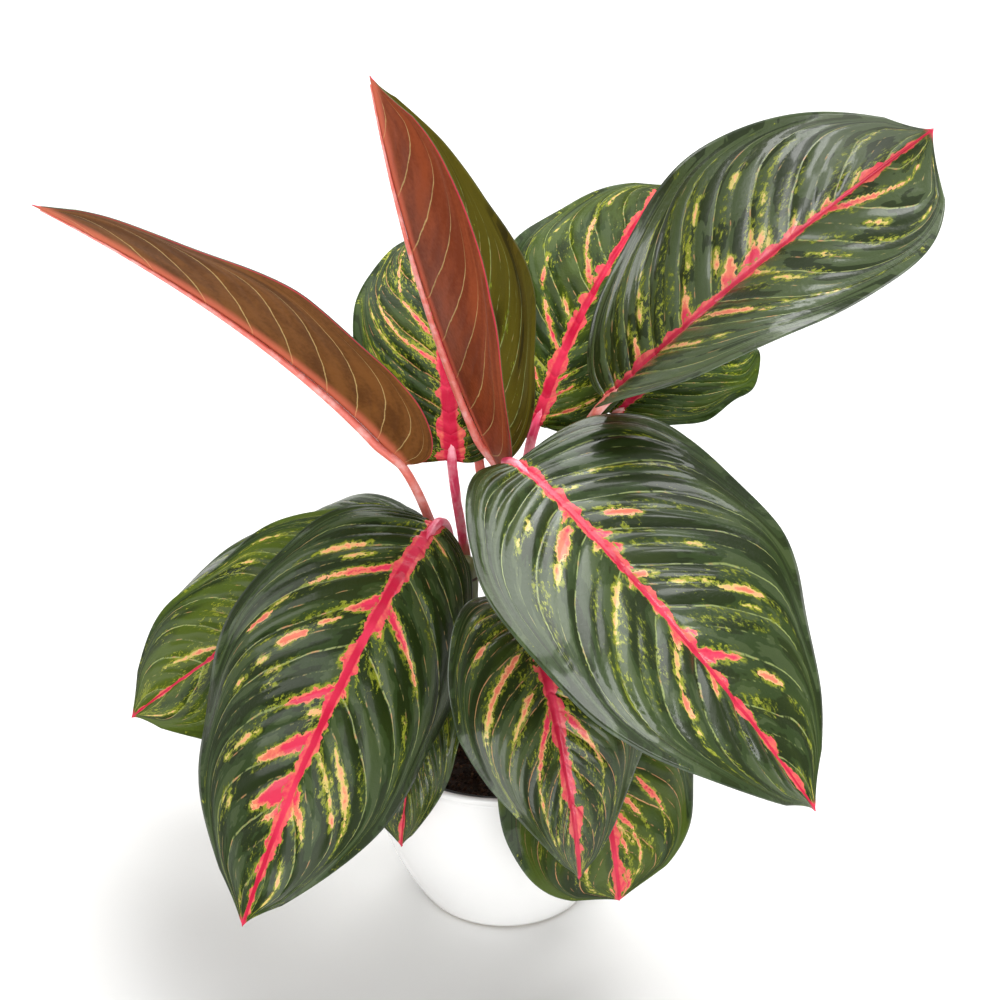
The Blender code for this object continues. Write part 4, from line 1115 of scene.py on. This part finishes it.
def upper_side(name, greens, seed, fleck, grey, fresh, pink, rib, gloss=1.0):
    """Waxy green skin with its marbling, flecks, vein lines, flames, midrib, a painted sheen along the edge,
    and tip.
    """
    wax = dict(coat=0.3 * gloss, coat_roughness=0.11, specular=0.2 * gloss)
    material, tree, shader = new_finish(f"{name}_upper", **wax)
    vein, side, across, outward, share = leaf_figures(tree)
    weave = made_vector(tree, vein, side, seed * 1.0)
    place = spot(tree)
    fine = mottle(tree, place, 520, detail=3, roughness=0.6)
    jag = mottle(tree, weave, 1.0, detail=3, roughness=0.65, stretch=(6, 8, 1), shift=(7, 0, 0)) * 0.45
    jag = jag + mottle(tree, place, 210, detail=3, roughness=0.65) * 0.55
    sway = (mottle(tree, weave, 1.0, detail=2, stretch=(0.8, 3, 1), shift=(2, 3, 0)) - 0.5) * 0.3
    strand = vein + sway

    # Marbling in three greens with crisp borders that run with the veins
    cloud = mottle(tree, weave, 1.0, detail=3, roughness=0.5, stretch=(1.7, 2.2, 1))
    deep, mid, pale, fresh_green = greens
    green = blended(tree, eased(tree, cloud, 0.48, 0.495), deep, mid)
    green = blended(tree, eased(tree, cloud, 0.64 - 0.16 * grey, 0.655 - 0.16 * grey), green, pale)
    broad = mottle(tree, weave, 1.0, detail=2, stretch=(0.7, 1.6, 1), shift=(0, 5, 0))
    green = blended(tree, eased(tree, broad + 0.2 * fresh, 0.52, 0.72) * (0.75 * fresh), green, fresh_green)

    # Lime flecks, thickest round the flames, by the midrib and beside the veins
    depth = Figure(tree, put(tree, "ShaderNodeAttribute", attribute_name="flame_depth").outputs["Fac"])
    heat = Figure(tree, put(tree, "ShaderNodeAttribute", attribute_name="flame_heat").outputs["Fac"])
    speck = mottle(tree, weave, 1.0, detail=3, roughness=0.72, stretch=(9, 24, 1), shift=(3, 0, 0))
    swarm = mottle(tree, weave, 1.0, detail=2, stretch=(1.6, 2.6, 1), shift=(0, 9, 0))
    by_vein = vein_lines(tree, strand, 0.0, 0.30)
    burn = depth + (jag - 0.5) * 7.5 + (speck - 0.5) * 1.6
    near = eased(tree, depth, -7, 0)
    thick = (swarm - 0.5) * 0.7 + near * 0.08 + (1 - across) * 0.05 + by_vein * 0.07 - 0.05 + 0.22 * fleck
    flecked = eased(tree, speck + thick, 0.76, 0.79)
    olive = eased(tree, speck + thick, 0.71, 0.75)
    skin = blended(tree, olive * 0.6, green, OLIVE)
    skin = blended(tree, flecked, skin, LIME)

    # Thin pale side veins, broken into dashes, with fainter ones half way between
    dash = mottle(tree, weave, 1.0, detail=3, roughness=0.7, stretch=(2, 9, 1), shift=(1, 4, 0))
    line = vein_lines(tree, strand, 0.008, 0.025) * eased(tree, dash, 0.38, 0.5)
    faint = vein_lines(tree, strand + 0.5, 0.004, 0.022) * eased(tree, dash, 0.47, 0.6) * 0.7
    tint = eased(tree, dash + 0.4 * pink, 0.62, 0.78)
    vein_colour = blended(tree, tint, PALE_VEIN, PEACH)
    inside = eased(tree, across, 0.93, 0.80)
    skin = blended(tree, (line + faint).between(0, 1) * inside * 0.62, skin, vein_colour)

    # Flames: lime fringe, then a colour for their heat, cooler at the rim
    skin = blended(tree, eased(tree, burn, -2.2, -0.4) * eased(tree, speck, 0.46, 0.60), skin, OLIVE)
    lively = speck + eased(tree, heat, 1.5, 4) * 0.14
    skin = blended(tree, eased(tree, burn, -1.7, -0.3) * eased(tree, lively, 0.56, 0.64), skin, LIME)
    warmth = heat / 10 - eased(tree, burn, 1.5, 0.0) * 0.28 + (jag - 0.5) * 0.4
    heart = LIME
    for cool, hot, colour in FLAME_COLOURS:
        heart = blended(tree, eased(tree, warmth, cool, hot), heart, colour)
    solid = eased(tree, heat + (speck - 0.5) * 8, 0.6, 1.4)
    skin = blended(tree, eased(tree, burn, -0.15, 0.1) * solid, skin, heart)

    # Midrib: a pink band with a jagged edge, deepest in colour at the rib itself, crimson here and there
    reach = (1.15 - share * 0.75) * (rib * MM)
    ragged = outward + (mottle(tree, place, 110, detail=3) - 0.5) * (rib * 0.0035)
    fringe = eased(tree, ragged, reach * 1.7, reach * 1.3) * eased(tree, speck, 0.50, 0.56)
    skin = blended(tree, fringe, skin, LIME)
    band = eased(tree, ragged, reach + 0.0003, reach)
    skin = blended(tree, band, skin, blended(tree, eased(tree, jag, 0.35, 0.7), FLAME_PINK, SALMON))
    core = eased(tree, outward + (jag - 0.5) * 0.0008, reach * 0.8, reach * 0.5)
    skin = blended(tree, core, skin, blended(tree, eased(tree, broad, 0.35, 0.6), FLAME_PINK, CRIMSON))

    # Edge, with a faint painted sheen along it, and drip tip
    rim = eased(tree, across, 0.984, 0.992)
    # Painted sheen: a thin pale line along the edge
    skin = blended(tree, rim * 0.12, skin, PAINTED_SHEEN_EDGE)
    tip = eased(tree, share + (jag - 0.5) * 0.03, 0.962, 0.978)
    skin = blended(tree, tip, skin, FLAME_PINK)
    plug(tree, shader.inputs["Base Color"], skin)
    plug(tree, shader.inputs["Roughness"], 0.30 + fine * 0.14 + band * 0.08)
    groove = vein_lines(tree, strand, 0.0, 0.10) * inside
    raised(tree, shader, fine * 0.6 + cloud * 0.2 - groove * 0.4, 0.00045, 0.85)
    return material


def under_side(name, seed, colours):
    """Matter skin of the underside, with thin pale veins."""
    material, tree, shader = new_finish(f"{name}_under", specular=0.12)
    vein, side, across, outward, _ = leaf_figures(tree)
    weave = made_vector(tree, vein, side, seed * 1.0)
    place = spot(tree)
    cloud = mottle(tree, weave, 1.0, detail=4, roughness=0.6, stretch=(0.9, 2.2, 1))
    fine = mottle(tree, place, 600, detail=3)
    dash = mottle(tree, weave, 1.0, detail=3, roughness=0.7, stretch=(1.2, 5, 1), shift=(1, 4, 0))
    skin = blended(tree, eased(tree, cloud + (fine - 0.5) * 0.2, 0.35, 0.66), *colours)
    strand = vein + (dash - 0.5) * 0.12
    line = vein_lines(tree, strand, 0.006, 0.022) * eased(tree, dash, 0.26, 0.42)
    line = line * eased(tree, across, 0.92, 0.75)
    skin = blended(tree, line * 0.7, skin, VEIN_CREAM)
    flush = eased(tree, outward, 0.006, 0.001) * 0.6
    skin = blended(tree, flush, skin, SALMON)
    skin = blended(tree, eased(tree, across, 0.975, 0.99) * 0.6, skin, FLAME_PINK)
    plug(tree, shader.inputs["Base Color"], skin)
    plug(tree, shader.inputs["Roughness"], 0.42 + fine * 0.2)
    raised(tree, shader, fine * 0.4 + line, 0.00025, 0.7)
    return material


def dabs(leaf, seed):
    """The short pale dashes of one half, in the same form as its flames."""
    chance = np.random.default_rng(seed)
    dashes = []
    for _ in range(DABS):
        vein = chance.integers(1, int(leaf["veins"])) + chance.uniform(-0.15, 0.15)
        start = chance.uniform(*DAB_START)
        end = min(start + chance.uniform(*DAB_REACH), 0.97)
        dashes.append((vein, start, end, chance.uniform(*DAB_HALF_WIDTH), chance.uniform(0, 3), 0))
    return tuple(dashes)


def flame_field(name, leaf, seed, sheet, flat):
    """For each point, how many millimetres deep it lies in the nearest flame, and that flame's heat there."""
    side, vein = sheet[:, 0], sheet[:, 1]
    across = abs(side)
    half_width = abs(flat[:, 0]) / np.maximum(across, 0.02)
    spacing = leaf["length"] / leaf["veins"] * VEIN_SLANT
    depth = np.full(len(side), NO_FLAME)
    heat = np.zeros(len(side))
    for number, half in enumerate(FLAME_HALVES):
        on_half = (side > 0) == (half == "right")
        flames = FLAMES.get(name, {}).get(half, ()) + dabs(leaf, seed + number)
        for veins, start, end, wide, hot, cool in flames:
            first, last = veins if isinstance(veins, tuple) else (veins, veins)
            reached = np.clip(across, start, end)
            u = (reached - start) / (end - start)
            beside = (vein - first - (last - first) * u) * spacing
            off = np.hypot(beside, (across - reached) * half_width)
            from_rib = (1 - u) ** 0.7 * 0.95 + 0.05
            apart = 4 * (u * 0.8 + 0.1) * (0.9 - u * 0.8)
            inside = np.where(on_half, wide * (from_rib if start == 0 else apart) - off, NO_FLAME)
            heat = np.where(inside > depth, hot + (cool - hot) * u, heat)
            depth = np.maximum(depth, inside)
    return depth, heat


def read_values(mesh, name, width):
    """A point attribute as an array."""
    attribute = mesh.attributes[name]
    found = np.zeros(len(attribute.data) * width, np.float32)
    attribute.data.foreach_get("value" if width == 1 else "vector", found)
    return found.reshape(-1, width)


BLADE = blade_recipe()
for name, leaf in LEAVES.items():
    rib, marks = ribs[name], MARKS[name]
    blade = line_object(f"{name}_blade", rib["place"])
    for direction in ("along", "right", "over"):
        put_values(blade.data, direction, "FLOAT_VECTOR", rib[direction])
    # leaf_02 takes the olive browns, a painted backlight glow, in place of its greens
    upper = upper_side(name, BACKLIT_BROWNS if name == "leaf_02" else GREENS, **marks)
    under_colours = UNDER_SIDES.get(name, (UNDER_GREEN, UNDER_GREEN_DARK))
    under = under_side(name, marks["seed"], under_colours)
    sizes = {
        "Rows": BLADE_ROWS, "Columns": BLADE_COLUMNS, "Length": float(leaf["length"]),
        "Veins": float(leaf["veins"]), "Pucker": PUCKERS.get(name, PUCKER_USUAL),
        "Seed": float(marks["seed"]), "Thickness": BLADE_THICKNESS, "Material": upper,
        "Under material": under,
    }
    sizes |= {label.capitalize(): leaf[label] for label in ("wave", "waves", "phase", "lobe")}
    for form in ("width", "rise", "curl", "blunt", "base round"):
        pair = leaf[form.replace(" ", "_")]
        sizes |= {f"Left {form}": float(pair[0]), f"Right {form}": float(pair[1])}
    follow_recipe(blade, BLADE, sizes)
    finished(blade)
    sheet, flat = (read_values(blade.data, label, 3) for label in ("sheet", "flat"))
    depth, heat = flame_field(name, leaf, marks["seed"], sheet, flat / MM)
    put_values(blade.data, "flame_depth", "FLOAT", depth)
    put_values(blade.data, "flame_heat", "FLOAT", heat)
    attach(blade, "root")
    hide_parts(name)

# Studio
# A pale seamless floor, a large soft light overhead, broad ones at the left and in front, small ones at the
# right and low before the pot, and one on the floor behind. The camera stands at the photograph's angle.

FLOOR_PALE = (0.80, 0.80, 0.79, 1)
FLOOR_SHADED = (0.74, 0.74, 0.73, 1)
FLOOR_HALF = 4.0
# Place, aim, width in metres and watts
SOFTBOXES = {
    "overhead": ((0.3, 0.45, 1.6), (0, 0, 0.2), 1.3, 32),
    "left": ((-1.5, 0.1, 1.0), (0, 0, 0.2), 0.9, 11),
    "front": ((0.5, -1.7, 0.8), (0, 0, 0.1), 1.2, 19),
    "right": ((1.05, -0.28, 1.42), (0, 0, 0.25), 0.4, 6),
    "low": ((-0.3, -1.3, 0.12), (0, 0, 0.05), 0.5, 6),
    "back_floor": ((0.0, 2.6, 2.0), (0, 2.2, 0), 2.0, 60),
}
ROOM_LIGHT = (1, 0.98, 0.95, 1)
ROOM_STRENGTH = 0.25
SENSOR_WIDTH = 36
CAMERA_PLACE = (-0.00225, -1.1479, 0.8183)
CAMERA_DOWN = 28
CAMERA_LENS = 104.0


def floor_finish():
    """Matt pale floor with a barely visible mottle."""
    material, tree, shader = new_finish("studio_floor", specular=0.2)
    clouds = mottle(tree, spot(tree), 3, detail=4)
    plug(tree, shader.inputs["Base Color"], blended(tree, clouds * 0.15, FLOOR_PALE, FLOOR_SHADED))
    shader.inputs["Roughness"].default_value = 0.7
    return material


def soft_light(name, place, aim, size, power):
    """A square softbox aimed at a point."""
    light = bpy.data.lights.new(name, "AREA")
    light.shape = "SQUARE"
    light.size = size
    light.energy = power
    obj = bpy.data.objects.new(name, light)
    bpy.context.scene.collection.objects.link(obj)
    obj.location = place
    back = unit(np.array(place, float) - np.array(aim, float))
    obj.rotation_euler = (math.acos(back[2]), 0, math.atan2(back[0], -back[1]))


corners = [(x * FLOOR_HALF, y * FLOOR_HALF, 0) for x, y in ((-1, -1), (1, -1), (1, 1), (-1, 1))]
floor = line_object("studio_floor", corners, [(0, 1, 2, 3)])
floor.data.materials.append(floor_finish())
floor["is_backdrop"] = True
for name, (place, aim, size, power) in SOFTBOXES.items():
    soft_light(f"{name}_softbox", place, aim, size, power)
world = bpy.data.worlds.new("studio")
world.use_nodes = True
world.node_tree.nodes["Background"].inputs["Color"].default_value = ROOM_LIGHT
world.node_tree.nodes["Background"].inputs["Strength"].default_value = ROOM_STRENGTH
bpy.context.scene.world = world
bpy.context.scene.view_settings.view_transform = "Standard"

camera = bpy.data.objects.new("camera", bpy.data.cameras.new("camera"))
bpy.context.scene.collection.objects.link(camera)
camera.data.sensor_width = SENSOR_WIDTH
camera.data.lens = CAMERA_LENS
camera.location = CAMERA_PLACE
camera.rotation_euler = (math.radians(90 - CAMERA_DOWN), 0, 0)
bpy.context.scene.camera = camera

visual_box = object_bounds()
sizes = {"cad": cad_box, "visual": visual_box}
